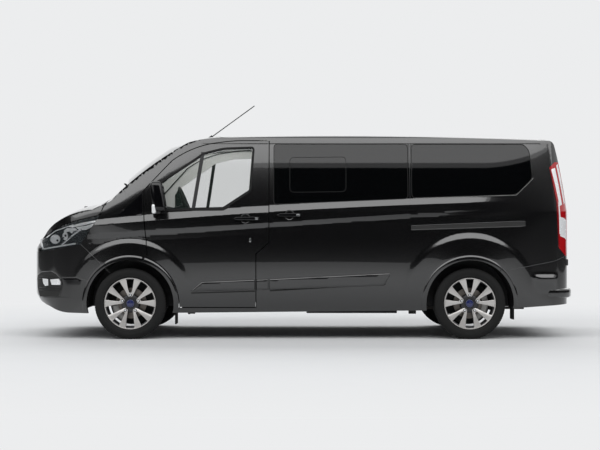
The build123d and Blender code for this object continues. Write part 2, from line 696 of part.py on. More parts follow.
def seat_row(rows):
    with BuildPart() as seats:
        for front_x, middle_y, width, top_z in rows:
            with Locations((front_x, middle_y, SEAT_FOOT_Z)):
                Box(480, width - 120, 260, align=(Align.MIN, Align.CENTER, Align.MIN))
            with Locations((front_x, middle_y, SEAT_FOOT_Z + 260)):
                Box(500, width, 130, align=(Align.MIN, Align.CENTER, Align.MIN))
            with BuildSketch(Plane.XZ.offset(-middle_y)):
                with BuildLine():
                    Polyline(
                        (front_x + 440, SEAT_FOOT_Z + 300), (front_x + 560, SEAT_FOOT_Z + 300),
                        (front_x + 670, top_z), (front_x + 570, top_z), close=True,
                    )
                make_face()
            extrude(amount=width / 2, both=True)
    return seats.part


keep("front_seats", seat_row(FRONT_SEATS))
keep("rear_seats", seat_row(REAR_SEATS))

# ---- Running gear --------------------------------------------------------------------------
SUBFRAME_Z = 205
SUBFRAME_TOP_Z = 330
with BuildPart() as engine_block:
    with Locations((-1880, 0, SUBFRAME_TOP_Z + SEAM)):
        Box(500, 620, 600, align=(Align.CENTER, Align.CENTER, Align.MIN))
keep("engine_block", engine_block.part)

KNUCKLE_Z = (240, 460)
with BuildPart() as front_subframe:
    with Locations((FRONT_AXLE_X, 0, SUBFRAME_Z)):
        Box(420, 760, 50)
        for side in (1, -1):
            with Locations((0, side * 575, 0)):
                Box(90, 400, 34)
            with Locations((0, side * KINGPIN_Y, 0)):
                Cylinder(34, 34)
            with Locations((0, side * KINGPIN_Y, 0)):
                Cylinder(12, 80, align=(Align.CENTER, Align.CENTER, Align.MIN))
    for side in (1, -1):
        with Locations((FRONT_AXLE_X - 180, side * 300, SUBFRAME_Z)):
            Box(60, 80, SUBFRAME_TOP_Z - SUBFRAME_Z, align=(Align.CENTER, Align.CENTER, Align.MIN))
        with Locations((FRONT_AXLE_X + 180, side * 300, SUBFRAME_Z)):
            Box(60, 80, FLOOR_Z[0] - SEAM - SUBFRAME_Z, align=(Align.CENTER, Align.CENTER, Align.MIN))
    with Locations((FRONT_AXLE_X, 0, SUBFRAME_TOP_Z)):
        Box(420, 660, 24, align=(Align.CENTER, Align.CENTER, Align.MAX))
keep("front_subframe", front_subframe.part)

with BuildPart() as knuckle:
    with Locations((FRONT_AXLE_X, -KINGPIN_Y, KNUCKLE_Z[0])):
        Box(76, 44, KNUCKLE_Z[1] - KNUCKLE_Z[0], align=(Align.CENTER, Align.CENTER, Align.MIN))
    with Locations((FRONT_AXLE_X, -KINGPIN_Y, SUBFRAME_Z + 24)):
        Cylinder(12 + BORE_GAP, 60, align=(Align.CENTER, Align.CENTER, Align.MIN), mode=Mode.SUBTRACT)
    with Locations((FRONT_AXLE_X, -KINGPIN_Y, TYRE_R)):
        Cylinder(SPINDLE_R, WHEEL_Y - KINGPIN_Y + 30, rotation=(90, 0, 0), align=(Align.CENTER, Align.CENTER, Align.MIN))
keep_pair("knuckle", knuckle.part)

LEAF_Z = TYRE_R - 65
with BuildPart() as rear_axle:
    with Locations((REAR_AXLE_X, 0, TYRE_R)):
        Cylinder(42, 2 * (WHEEL_Y - 95), rotation=(90, 0, 0))
        Cylinder(SPINDLE_R, 2 * (WHEEL_Y + 30), rotation=(90, 0, 0))
    for side in (1, -1):
        with Locations((REAR_AXLE_X, side * 520, TYRE_R - 40)):
            Box(120, 90, 40)
        with Locations((REAR_AXLE_X, side * 520, LEAF_Z)):
            Box(1180, 70, 22)
        with Locations((REAR_AXLE_X - 560, side * 520, LEAF_Z), (REAR_AXLE_X + 560, side * 520, LEAF_Z)):
            Box(50, 60, FLOOR_Z[0] - LEAF_Z - SEAM, align=(Align.CENTER, Align.CENTER, Align.MIN))
keep("rear_axle", rear_axle.part)

with BuildPart() as fuel_tank:
    with Locations((500, -330, FLOOR_Z[0] - SEAM)):
        Box(900, 560, 170, align=(Align.CENTER, Align.CENTER, Align.MAX))
    fillet(fuel_tank.edges().filter_by(Axis.X), radius=40)
keep("fuel_tank", fuel_tank.part)

SILENCER_R = 78
EXHAUST_Z = FLOOR_Z[0] - SEAM - SILENCER_R
# middle x, radius, length
EXHAUST_RUNS = [(300, SILENCER_R, 620), (-600, 28, 1300), (900, 28, 700)]
with BuildPart() as exhaust:
    for middle_x, radius, length in EXHAUST_RUNS:
        with Locations((middle_x, 330, EXHAUST_Z)):
            Cylinder(radius, length, rotation=(0, 90, 0))
keep("exhaust", exhaust.part)

# ---- Wheels --------------------------------------------------------------------------------
def turned(points):
    """A solid turned about a wheel's axle from radius and side distances."""
    with BuildPart() as solid:
        with BuildSketch(Plane.YZ):
            with BuildLine():
                Polyline(*[(y, radius) for radius, y in points], close=True)
            make_face()
        revolve(axis=Axis.Y)
    return solid.part


HALF_TYRE = TYRE_WIDTH / 2
tyre_shape = turned([
    (BEAD_R + 1, -79.5), (RIM_R + 2, -81.5), (RIM_R + 10, -98), (292, -HALF_TYRE), (324, -104), (340, -86),
    (TYRE_R, -60), (TYRE_R, 60), (340, 86), (324, 104), (292, HALF_TYRE), (RIM_R + 10, 98),
    (RIM_R + 2, 81.5), (BEAD_R + 1, 79.5),
])
HUB_BORE_R = SPINDLE_R + BORE_GAP
with BuildPart() as rim_shape:
    add(turned([
        (RIM_R, -90), (RIM_R, -82), (BEAD_R, -80), (BEAD_R, 80), (RIM_R, 82), (RIM_R, 90),
        (BEAD_R - 8, 88), (BEAD_R - 12, 0), (BEAD_R - 6, -88),
    ]))
    add(turned([(0.0, -66), (72, -62), (92, -44), (92, -10), (70, 10), (70, 20), (HUB_BORE_R, 20), (HUB_BORE_R, -40), (0.0, -40)]))
    for spoke in range(SPOKES):
        with BuildPart(mode=Mode.PRIVATE) as arm:
            with BuildSketch(Plane.XZ.offset(46)):
                Polygon((-16, 70), (16, 70), (30, BEAD_R - 4), (-30, BEAD_R - 4), align=None)
            extrude(amount=28)
        add(arm.part.rotate(Axis.Y, 360 / SPOKES * (spoke + 0.5)))
    # brake disc, carried by the hub
    with Locations(Pos(0, 12, 0) * Rotation(90, 0, 0)):
        Cylinder(DISC_R, 24)
        Cylinder(HUB_BORE_R, 60, mode=Mode.SUBTRACT)

for axle_name, axle_x in (("front", FRONT_AXLE_X), ("rear", REAR_AXLE_X)):
    keep_pair("tyre_" + axle_name, Pos(axle_x, -WHEEL_Y, TYRE_R) * tyre_shape)
    keep_pair("rim_" + axle_name, Pos(axle_x, -WHEEL_Y, TYRE_R) * rim_shape.part)

# ---- Mirrors and small outside pieces --------------------------------------------------------
with BuildPart() as mirror_left:
    with Locations((-1385, -1040, 1380)):
        Box(130, 190, 300)
    fillet(mirror_left.edges(), radius=30)
    with Locations((-1400, -930, 1240)):
        Box(100, 120, 70)
    with Locations((-1390, -975, 1260)):
        Box(90, 60, 60)
    add(envelope(-SEAT_GAP), mode=Mode.SUBTRACT)
keep_pair("mirror", mirror_left.part)

ANTENNA_FOOT = (-1000, 0, 1985)
ANTENNA_TILT = 54
ANTENNA_LENGTH = 630
with BuildPart() as antenna:
    with Locations(Pos(*ANTENNA_FOOT) * Rotation(0, ANTENNA_TILT, 0)):
        Cylinder(16, 90, align=(Align.CENTER, Align.CENTER, Align.MIN))
        Cylinder(5, ANTENNA_LENGTH, align=(Align.CENTER, Align.CENTER, Align.MIN))
    add(envelope(-SEAT_GAP), mode=Mode.SUBTRACT)
keep("antenna", antenna.part)

with BuildPart() as mud_flaps:
    for axle_x, bottom_z in ((FRONT_AXLE_X, 140), (REAR_AXLE_X, 185)):
        for side in (1, -1):
            with Locations((axle_x + ARCH_R + LINER + SEAM, side * 780, bottom_z)):
                Box(14, 180, 395 - bottom_z, align=(Align.MIN, Align.CENTER, Align.MIN))
keep("mud_flaps", mud_flaps.part)

for label, solid in pieces.items():
    solid.label = label
    export_step(solid, "parts/" + label + ".step")
    print(label, len(solid.solids()), solid.is_valid, round(solid.volume / 1e6, 2))
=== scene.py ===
# %% [markdown]
# # A long minibus, dressed
# The solid model already holds every panel, wheel and hinge at its real size and place. This
# lesson gives it the looks: rolled panel edges, glass, lamps, wheels and trim. Every piece is
# made in metres, in the solid model's own frame: -X is the front, -Y the left side, +Z up.

# %% Load the frame
import json
import math

import bmesh
import bpy
from mathutils import Matrix, Vector
from mathutils.bvhtree import BVHTree


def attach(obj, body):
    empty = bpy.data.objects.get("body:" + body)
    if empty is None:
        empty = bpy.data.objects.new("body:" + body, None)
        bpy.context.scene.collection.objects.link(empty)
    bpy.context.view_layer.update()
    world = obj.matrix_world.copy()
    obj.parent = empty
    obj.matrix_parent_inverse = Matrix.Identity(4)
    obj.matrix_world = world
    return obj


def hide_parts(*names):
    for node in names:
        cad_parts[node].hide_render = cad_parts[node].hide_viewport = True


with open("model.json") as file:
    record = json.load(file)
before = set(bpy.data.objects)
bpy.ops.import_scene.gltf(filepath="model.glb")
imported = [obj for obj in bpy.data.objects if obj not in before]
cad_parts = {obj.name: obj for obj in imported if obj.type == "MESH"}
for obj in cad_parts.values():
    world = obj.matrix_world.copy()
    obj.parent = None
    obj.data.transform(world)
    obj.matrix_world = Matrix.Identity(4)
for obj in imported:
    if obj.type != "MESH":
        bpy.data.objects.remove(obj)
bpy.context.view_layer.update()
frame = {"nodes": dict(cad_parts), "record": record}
nodes = frame["nodes"]

# %% [markdown]
# ## Camera
# A vehicle's side looks calm through a long lens far away, because the near and the far wheels
# then overlap. The camera stands level at about half the vehicle's height, square to the side.

# %% Camera
LENS_MM = 79.4
CAMERA_AT = (-0.016, -13.8, 1.04)
HORIZON_SHIFT = 0.0117
camera = bpy.data.cameras.new("camera")
camera.lens = LENS_MM
camera.sensor_width = 36
camera.shift_y = HORIZON_SHIFT
camera_object = bpy.data.objects.new("camera", camera)
camera_object.location = CAMERA_AT
camera_object.rotation_euler = (math.radians(90), 0, 0)
bpy.context.scene.collection.objects.link(camera_object)
bpy.context.scene.camera = camera_object
bpy.context.scene.view_settings.view_transform = "Standard"
print("camera at", CAMERA_AT, "lens", LENS_MM, "mm")

# %% [markdown]
# ## Colours and nodes
# Colours are written as they look on a screen. Blender mixes light in linear values, so one
# function converts them. A second small function adds a shader node, sets it and links it.

# %% Helpers for materials
MM = 0.001


def to_linear(code):
    """The linear colour, with alpha 1, of a screen colour such as 1A2B3C."""
    values = [int(code[i:i + 2], 16) / 255 for i in (0, 2, 4)]
    return tuple(v / 12.92 if v <= 0.04045 else ((v + 0.055) / 1.055) ** 2.4 for v in values) + (1.0,)


def add_node(tree, kind, settings=None, links=None):
    """Adds a node. Settings are for its properties and its sockets, links for its input sockets.

    A socket is given by its name, or by its number where several share a name.
    """
    node = tree.nodes.new(kind)
    for name, value in (settings or {}).items():
        if isinstance(name, int) or name in node.inputs:
            node.inputs[name].default_value = value
        else:
            setattr(node, name, value)
    for name, source in (links or {}).items():
        tree.links.new(source, node.inputs[name])
    return node


def new_material(name, shader):
    """A material with one Principled shader, whose own sockets take the given values."""
    material = bpy.data.materials.new(name)
    material.use_nodes = True
    tree = material.node_tree
    tree.nodes.clear()
    surface = add_node(tree, "ShaderNodeBsdfPrincipled", shader)
    add_node(tree, "ShaderNodeOutputMaterial", None, {"Surface": surface.outputs[0]})
    return material, tree, surface


# glass mirrors this share of light that meets it squarely, and at a slant
MIRRORS_LEAST, MIRRORS_MOST = 0.04, 0.32


def add_slant(parts, face_on, edge_on):
    """Shows what is behind a pane that is looked at squarely, and mirrors at a slant, as glass does."""
    slant = add_node(parts[1], "ShaderNodeFresnel", {"IOR": 1.5})
    share = add_node(
        parts[1], "ShaderNodeMapRange",
        {"From Min": MIRRORS_LEAST, "From Max": MIRRORS_MOST, "To Min": face_on, "To Max": edge_on},
        {"Value": slant.outputs[0]},
    )
    parts[1].links.new(share.outputs[0], parts[2].inputs["Alpha"])


def add_grain(parts, grain_mm, depth_mm, colours, rough_range=None):
    """Adds a fine noise: a bump of that depth, and a small drift of colour and roughness."""
    material, tree, surface = parts
    place = add_node(tree, "ShaderNodeTexCoord")
    noise = add_node(
        tree, "ShaderNodeTexNoise", {"Scale": 1 / (grain_mm * MM), "Detail": 3, "Roughness": 0.55},
        {"Vector": place.outputs["Object"]},
    )
    bump = add_node(
        tree, "ShaderNodeBump", {"Strength": 0.6, "Distance": depth_mm * MM}, {"Height": noise.outputs[0]},
    )
    tree.links.new(bump.outputs[0], surface.inputs["Normal"])
    low, high = (to_linear(code) for code in colours.split())
    mix = add_node(tree, "ShaderNodeMix", {"data_type": "RGBA", 6: low, 7: high}, {0: noise.outputs[0]})
    tree.links.new(mix.outputs[2], surface.inputs["Base Color"])
    if rough_range:
        spread = add_node(
            tree, "ShaderNodeMapRange", {"To Min": rough_range[0], "To Max": rough_range[1]},
            {"Value": noise.outputs[0]},
        )
        tree.links.new(spread.outputs[0], surface.inputs["Roughness"])
    return material


def finish(name, shader, grain_mm, depth_mm, colours, rough_range=None, slant=None):
    """A material with a fine grain. Slant is how solid a pane looks, face on and edge on."""
    parts = new_material(name, shader)
    if slant:
        add_slant(parts, *slant)
    return add_grain(parts, grain_mm, depth_mm, colours, rough_range)


# %% [markdown]
# ## Finishes
# Car paint is a dark base under a clear, glossy lacquer, with a faint orange-peel ripple from
# spraying. Mouldings are grained polypropylene, which scatters light and looks grey-black.

# %% Paint and plastics
paint = finish(
    "lacquered_black_paint", {"Roughness": 0.22, "Coat Weight": 1.0, "Coat Roughness": 0.03, "Coat IOR": 1.6},
    9, 0.02, "070708 0B0B0C",
)
grained_plastic = finish("grained_polypropylene", {"Roughness": 0.6}, 3, 0.3, "18181A 202022", (0.5, 0.68))
gloss_plastic = finish("gloss_black_abs", {"Roughness": 0.12}, 12, 0.02, "08080A 0C0C0E")
soft_trim = finish("moulded_dashboard_skin", {"Roughness": 0.7}, 4, 0.35, "1D1D1F 262628", (0.6, 0.75))
underbody = finish("sprayed_underbody_coat", {"Roughness": 0.8}, 14, 0.8, "1C1C1C 2A2A29", (0.7, 0.9))
rubber = finish(
    "moulded_rubber", {"Roughness": 0.8, "Specular IOR Level": 0.3}, 2.5, 0.15, "141414 1C1C1C", (0.7, 0.9),
)
print("paint and plastics made")

# %% [markdown]
# ## Glass
# Front side glass and the windscreen are faintly green. The rear glass is privacy glass, dyed
# so dark that it mirrors more than it shows. Panes are thin, so light may pass straight through.

# %% Glass and lamp materials
clear_glass = finish(
    "clear_float_glass", {"Roughness": 0.02, "IOR": 1.5, "Coat Weight": 1.0, "Coat Roughness": 0.02},
    300, 0.05, "4A5A52 52625A", slant=(0.1, 0.95),
)
privacy_glass = finish(
    "dyed_privacy_glass", {"Roughness": 0.03, "IOR": 1.5, "Alpha": 0.95}, 300, 0.05, "050607 08090A",
)
screen_glass = finish(
    "laminated_windscreen", {"Roughness": 0.04, "IOR": 1.5, "Coat Weight": 1.0, "Coat Roughness": 0.03},
    300, 0.05, "343C38 3A423E", slant=(0.35, 0.97),
)
lamp_lens = finish(
    "clear_polycarbonate", {"Roughness": 0.03, "IOR": 1.58, "Coat Weight": 1.0, "Coat Roughness": 0.02},
    60, 0.05, "70787C 7C8488", slant=(0.12, 0.9),
)
red_lens = finish(
    "red_acrylic", {"Roughness": 0.08, "IOR": 1.49, "Coat Weight": 0.6, "Coat Roughness": 0.03},
    6, 0.25, "A01218 C21C22",
)
dark_red = finish("dark_red_acrylic", {"Roughness": 0.1, "IOR": 1.49}, 6, 0.1, "6A0C12 7E1016")
# panel seams: a grey lighter than the body's black paint, a painted highlight along the seam
seam_painted_highlight = finish("rolled_edge_painted_highlight", {"Roughness": 0.3, "Coat Weight": 1.0}, 9, 0.02, "2E2E30 343436")
# the quarter window's edge: a real raised edge, painted bright metallic grey as a painted highlight
bright_edge_painted_highlight = finish("bright_rolled_edge_painted_highlight", {"Roughness": 0.3, "Metallic": 0.6}, 9, 0.02, "8E8E8C 9A9A98")
print("glass and edges made")

# %% Metals and cloth
bright_alloy = finish(
    "machined_lacquered_alloy", {"Metallic": 0.45, "Roughness": 0.32, "Coat Weight": 0.4},
    5, 0.05, "CCC9C6 D6D3D0", (0.26, 0.38),
)
dark_alloy = finish(
    "grey_painted_alloy", {"Metallic": 0.4, "Roughness": 0.45, "Coat Weight": 0.3},
    8, 0.08, "2C2C2E 38383A", (0.4, 0.52),
)
chrome = finish("bright_chrome", {"Metallic": 1.0, "Roughness": 0.08}, 30, 0.02, "D8DADC E2E4E6")
cast_iron = finish(
    "sand_cast_iron", {"Metallic": 0.6, "Roughness": 0.65}, 5, 0.5, "3A3836 4A4643", (0.55, 0.75),
)
pipe_steel = finish(
    "rolled_steel_pipe", {"Metallic": 0.9, "Roughness": 0.45}, 16, 0.1, "6A655F 7C766E", (0.38, 0.55),
)
seat_cloth = finish(
    "woven_seat_cloth", {"Roughness": 0.95, "Sheen Weight": 0.25}, 2.2, 0.5, "26272B 36373C", (0.88, 1.0),
)
cap_grey = finish("satin_grey_abs", {"Roughness": 0.4, "Metallic": 0.3}, 6, 0.03, "5A5E74 646880")
silvered = finish(
    "silvered_reflector", {"Metallic": 0.2, "Roughness": 0.25}, 20, 0.1, "F0F2F4 FAFAFA", (0.2, 0.32),
)
headliner = finish("felt_headliner", {"Roughness": 0.95}, 3, 0.3, "DADCD8 E4E6E2")
print("metals and cloth made")

# %% [markdown]
# ## Room and lights
# A studio for cars is a pale floor that rises into a pale wall. Large soft lamps overhead draw
# the bright bands along the shoulders. Dark screens beside the camera keep the black paint black.


# %% Helpers for the studio
def object_of(name, mesh):
    """Puts a bmesh into the scene as an object, and frees it."""
    data = bpy.data.meshes.new(name)
    mesh.to_mesh(data)
    mesh.free()
    thing = bpy.data.objects.new(name, data)
    bpy.context.scene.collection.objects.link(thing)
    return thing


def staged(name, mesh, material):
    """Makes a piece of the studio, which is no part of the vehicle."""
    thing = object_of(name, mesh)
    thing.data.materials.append(material)
    return thing


def points_of(made):
    """The points among what a bmesh operator made."""
    return [item for item in made["geom"] if isinstance(item, bmesh.types.BMVert)]


def raised(mesh, face, shift):
    """Extrudes a face by a shift in metres, and gives back the points of its new place."""
    points = points_of(bmesh.ops.extrude_face_region(mesh, geom=[face]))
    bmesh.ops.translate(mesh, verts=points, vec=shift)
    bmesh.ops.recalc_face_normals(mesh, faces=mesh.faces)
    return points


def bmesh_of(data):
    """A bmesh with a mesh's shape."""
    mesh = bmesh.new()
    mesh.from_mesh(data)
    return mesh


def seen_directly(tree, mirrored=1.0):
    """1 for a ray from the camera or through glass, mirrored for a mirror's, 0 for light that scatters."""
    path = add_node(tree, "ShaderNodeLightPath")
    sight = path.outputs["Is Camera Ray"]
    for name, level in (("Is Transmission Ray", 1.0), ("Is Glossy Ray", mirrored)):
        scaled = add_node(tree, "ShaderNodeMath", {"operation": "MULTIPLY", 1: level}, {0: path.outputs[name]})
        either = add_node(tree, "ShaderNodeMath", {"operation": "MAXIMUM"}, {0: sight, 1: scaled.outputs[0]})
        sight = either.outputs[0]
    return sight


# %% Floor
PALE = "ECEDEE"
# the floor fades into the wall between these shares of its reach, along and across the vehicle
FADE_START, FADE_END = 1.0, 1.9
FLOOR_REACH = (4.4, 3.4)
FLOOR_MIRRORED = 0.6

floor_mesh = bmesh.new()
bmesh.ops.create_grid(floor_mesh, x_segments=8, y_segments=8, size=60)
floor_parts = new_material("painted_studio_floor", {"Roughness": 0.9, "Specular IOR Level": 0.1})
floor_material = add_grain(floor_parts, 400, 0.1, "E2E3E4 E5E6E7")
floor_tree, floor_surface = floor_parts[1:]
place = add_node(floor_tree, "ShaderNodeTexCoord")
reach = add_node(
    floor_tree, "ShaderNodeMapping", {"Scale": (1 / FLOOR_REACH[0], 1 / FLOOR_REACH[1], 0)},
    {"Vector": place.outputs["Object"]},
)
distance = add_node(
    floor_tree, "ShaderNodeVectorMath", {"operation": "LENGTH"}, {"Vector": reach.outputs[0]},
)
fade = add_node(
    floor_tree, "ShaderNodeMapRange",
    {"interpolation_type": "SMOOTHSTEP", "From Min": FADE_START, "From Max": FADE_END},
    {"Value": distance.outputs["Value"]},
)
share = add_node(
    floor_tree, "ShaderNodeMath", {"operation": "MULTIPLY"},
    {0: fade.outputs[0], 1: seen_directly(floor_tree, FLOOR_MIRRORED)},
)
sweep = add_node(floor_tree, "ShaderNodeEmission", {"Color": to_linear(PALE), "Strength": 1.0})
floor_look = add_node(
    floor_tree, "ShaderNodeMixShader", None,
    {0: share.outputs[0], 1: floor_surface.outputs[0], 2: sweep.outputs[0]},
)
floor_tree.links.new(floor_look.outputs[0], floor_tree.nodes["Material Output"].inputs["Surface"])
staged("studio_floor", floor_mesh, floor_material)

# %% World
world = bpy.data.worlds.new("studio")
bpy.context.scene.world = world
world.use_nodes = True
world_tree = world.node_tree
world_tree.nodes.clear()
pale_wall = add_node(world_tree, "ShaderNodeBackground", {"Color": to_linear(PALE), "Strength": 1.0})
plain_light = add_node(world_tree, "ShaderNodeBackground", {"Color": to_linear("E8EBEE"), "Strength": 0.3})
choice = add_node(world_tree, "ShaderNodeMixShader", None, {"Fac": seen_directly(world_tree)})
world_tree.links.new(plain_light.outputs[0], choice.inputs[1])
world_tree.links.new(pale_wall.outputs[0], choice.inputs[2])
add_node(world_tree, "ShaderNodeOutputWorld", None, {"Surface": choice.outputs[0]})
print("floor and world made")


# %% Lamps
def soft_lamp(name, place, target, size, watts):
    """A large rectangular lamp that faces a target."""
    light = bpy.data.lights.new(name, "AREA")
    light.shape = "RECTANGLE"
    light.size, light.size_y = size
    light.energy = watts
    lamp = bpy.data.objects.new(name, light)
    lamp.location = place
    lamp.rotation_euler = (Vector(target) - Vector(place)).to_track_quat("-Z", "Y").to_euler()
    lamp.visible_camera = False
    bpy.context.scene.collection.objects.link(lamp)
    return lamp


cabin_lamp = soft_lamp("cabin_lamp", (-0.95, -0.25, 1.72), (-1.15, 0.9, 1.62), (0.7, 0.3), 7)
cabin_lamp.visible_glossy = False
SOFT_BOX = (22, 7)
for name, y in (("softbox_left", -5.8), ("softbox_right", 5.8)):
    soft_lamp(name, (0, y, 7.45), (0, math.copysign(1, y), 1.7), SOFT_BOX, 850)

# %% Dark screens
# name, one end, the other end and height, in metres
SCREENS = [
    ("screen_left", (-9, -17), (24, -17), 8.6), ("screen_left_front", (-24, -17), (-9, -17), 4.2),
    ("screen_front", (-24, -17), (-24, 17), 4.2), ("screen_rear", (24, -17), (24, 17), 4.2),
]
screen_cloth = finish(
    "black_velvet_screen", {"Roughness": 1.0, "Specular IOR Level": 0.0}, 50, 0.1, "060606 080808",
)
for name, start, end, top_m in SCREENS:
    mesh = bmesh.new()
    foot = [mesh.verts.new((x, y, 0)) for x, y in (start, end)]
    made = bmesh.ops.extrude_edge_only(mesh, edges=[mesh.edges.new(foot)])
    bmesh.ops.translate(mesh, verts=points_of(made), vec=(0, 0, top_m))
    screen = staged(name, mesh, screen_cloth)
    for ray in ("camera", "diffuse", "shadow", "transmission"):
        setattr(screen, "visible_" + ray, False)
print("room lit")

# %% [markdown]
# ## Finishes on the solid pieces
# The running gear, the floor and the furniture have their real shapes in the solid model, so
# they only take a finish.

# %% Finish the solid nodes
finish_of = {
    "underbody": underbody, "body_paint": paint, "black_plastic": grained_plastic, "gloss_black": gloss_plastic,
    "clear_glass": clear_glass, "dark_glass": privacy_glass, "lamp_clear": lamp_lens, "lamp_red": red_lens,
    "seat_cloth": seat_cloth, "cast_metal": cast_iron, "steel_pipe": pipe_steel, "tyre_rubber": rubber,
    "alloy": bright_alloy, "flap_rubber": rubber,
}
slot_of = {entry["node"]: entry["material_slot"] for entry in frame["record"]["subparts"]}
for node_name, node_object in nodes.items():
    node_object.data.materials.clear()
    node_object.data.materials.append(finish_of[slot_of[node_name]])
print("finished", len(nodes), "solid nodes")

# %% [markdown]
# ## The body's side surface
# A stamped body side is one flowing surface that runs through every panel. It is described once,
# as a half width at each length and height: a section curve and a plan curve, with the smaller of
# the two rounded into the other. The shoulder's creases and the wheel arch flares stand on it as a
# low relief. Each panel is then a copy of its solid whose outer skin is moved onto that surface.

# %% Curves of the side, in millimetres, as the solid model has them
BELT_Z, TOP_Z, BELT_LEAN = 1240, 2110, math.tan(math.radians(8.3))
# chains of arcs: a point on the chain, then the arc's middle, or None for a straight line
SECTION_ZY = [
    (-200, 935), None, (255, 940), (770, 993), (1240, 957), (1575, 915), (1900, 851), (1966, 825), (2014, 761),
    None, (2090, 0),
]
PLAN_XY = [
    (-2670, 0), (-2666.5, 250), (-2656, 500), (-2638, 616), (-2608, 720), (-2500, 846), (-2250, 918),
    (-1890, 966), (-1510, 987), (0, 1005), (1570, 991), (2070, 973), (2430, 935), (2570, 863), (2614, 743),
    (2630, 380), (2636, 0),
]


def circle_centre(start, middle, end):
    """The centre of the circle through three points, and the side on which they turn."""
    (x1, y1), (x2, y2), (x3, y3) = start, middle, end
    turn = 2 * ((x2 - x1) * (y3 - y1) - (y2 - y1) * (x3 - x1))
    a, b = (x2 ** 2 + y2 ** 2 - x1 ** 2 - y1 ** 2), (x3 ** 2 + y3 ** 2 - x1 ** 2 - y1 ** 2)
    return (a * (y3 - y1) - b * (y2 - y1)) / turn, (b * (x2 - x1) - a * (x3 - x1)) / turn, turn


def between(start, end, u):
    """The second coordinate at u of the line from start to end."""
    return start[1] + (end[1] - start[1]) * (u - start[0]) / (end[0] - start[0])


def arcs_of(chain):
    """A chain's arcs, each as its start, its middle and its end."""
    return list(zip(chain[::2], chain[1::2], chain[2::2]))


def along(arcs, u):
    """The second coordinate at u of a chain of arcs."""
    for start, middle, end in arcs:
        if start[0] <= u <= end[0]:
            if middle is None:
                return between(start, end, u)
            cx, cy, _ = circle_centre(start, middle, end)
            rise = math.sqrt(max(0.0, (start[0] - cx) ** 2 + (start[1] - cy) ** 2 - (u - cx) ** 2))
            return cy + math.copysign(rise, middle[1] - cy)
    return 0.0


def linear_chain(points, u):
    """The second coordinate at u of a chain of straight lines, level beyond its ends."""
    if u <= points[0][0]:
        return points[0][1]
    for start, end in zip(points, points[1:]):
        if u <= end[0]:
            return between(start, end, u)
    return points[-1][1]


def pushed(outline, push):
    """A closed outline with every side moved by push, and square to its neighbours as before."""
    moved = []
    for i, (x, y) in enumerate(outline):
        before, after = outline[i - 1], outline[(i + 1) % len(outline)]
        ax, ay, bx, by = x - before[0], y - before[1], after[0] - x, after[1] - y
        la, lb = math.hypot(ax, ay), math.hypot(bx, by)
        ax, ay, bx, by = ax / la, ay / la, bx / lb, by / lb
        share = push / (1 + ax * bx + ay * by)
        moved.append((x + (ay + by) * share, y - (ax + bx) * share))
    return moved


# the plan narrows above the belt, so it is drawn in at even steps of height
PLAN_STEPS = 29
mirrored_plan = [(x, -y) for x, y in reversed(PLAN_XY[1:-1])]
plan_at = [
    arcs_of(pushed(PLAN_XY + mirrored_plan, (TOP_Z - BELT_Z) * BELT_LEAN * i / PLAN_STEPS)[:len(PLAN_XY)])
    for i in range(PLAN_STEPS + 1)
]
section = arcs_of(SECTION_ZY)


def plan_width(x, z):
    """Half width by the plan alone."""
    t = max(0.0, (z - BELT_Z) / (TOP_Z - BELT_Z)) * PLAN_STEPS
    i = min(int(t), PLAN_STEPS - 1)
    low, high = along(plan_at[i], x), along(plan_at[i + 1], x)
    return low + (high - low) * (t - i)


def solid_width(x, z):
    """Half width of the solid model's skin."""
    return min(along(section, z), plan_width(x, z))


print("half width of the body at the middle:", round(solid_width(0, 900)), "mm")

# %% [markdown]
# The relief has two parts. The shoulder is a pair of creases that climb towards the tail: a face
# that looks down, a flat and a face that looks up. A flare is a ring round each wheel arch, with a
# second, thinner lip at its edge. Smooth steps join them, because pressed steel has no hard edge.

# %% Relief of the shoulder and the flares
WHEEL_Z = 345
# wheel x, foot and top of the flare's slope
FLARES = [(-1666, 640, 582), (1634, 694, 628)]
FLARE_MM, SPREAD_MM, SPREAD_REACH = 19, 13, 210
# how softly the shoulder ends at a flare, and how fast a flare fades towards the sill
FLARE_BLEND, FLARE_FADE = 40, 3.2
# height on a climbing line, and how far the skin stands out there
LOWER_FACE = [(1050, 0), (1103, 3), (1152, 13), (1246, 21)]
UPPER_FACE = [(1248, 21), (1308, 0)]
# where along the vehicle the shoulder comes and goes
SHOULDER_X = (-2120, -1950, 1350, 2060)
# the bonnet's and the windscreen's edge, where the skin rolls in
CROWN = [
    (-2440, 1080), (-2200, 1262), (-1941, 1398), (-1790, 1480), (-1480, 1700), (-1181, 1925), (-1000, 2040),
]
CROWN_MM, CROWN_REACH, CROWN_FOOT_Z = 44, 200, 950
# the crease along the rear bumper: its height, how far it stands out, and where
SHELF_Z, SHELF_MM, SHELF_X = 588, 17, (2060, 2140, 2430, 2500)
SHELF_BELOW, SHELF_ABOVE = 150, 52
# x, z, radius and depth of the hollows behind the door handles
BOWLS = [(-546, 1172, 50, 15), (-118, 1206, 50, 15)]
ROUNDING = 26
# the nose has no relief of its own, so it fades in behind it
RELIEF_START = (-2420, -2150)


def smooth_step(low, high, value):
    t = min(1.0, max(0.0, (value - low) / (high - low)))
    return t * t * (3 - 2 * t)


def hump(places, value):
    """1 between the two middle places, and 0 outside the outer ones."""
    return smooth_step(places[0], places[1], value) * (1 - smooth_step(places[2], places[3], value))


def lower_line(x):
    """Climb of the shoulder's lower crease."""
    return 0.064 * x


def upper_line(x):
    """Climb of its upper crease, which flattens towards the tail."""
    return 7 + 0.0563 * x - 1.0535e-5 * x * x


def edge_distance(x, z, a, b):
    """Distance of a point from the line between a and b."""
    ux, uz = b[0] - a[0], b[1] - a[1]
    t = min(1, max(0, ((x - a[0]) * ux + (z - a[1]) * uz) / (ux * ux + uz * uz)))
    return math.hypot(x - a[0] - ux * t, z - a[1] - uz * t)


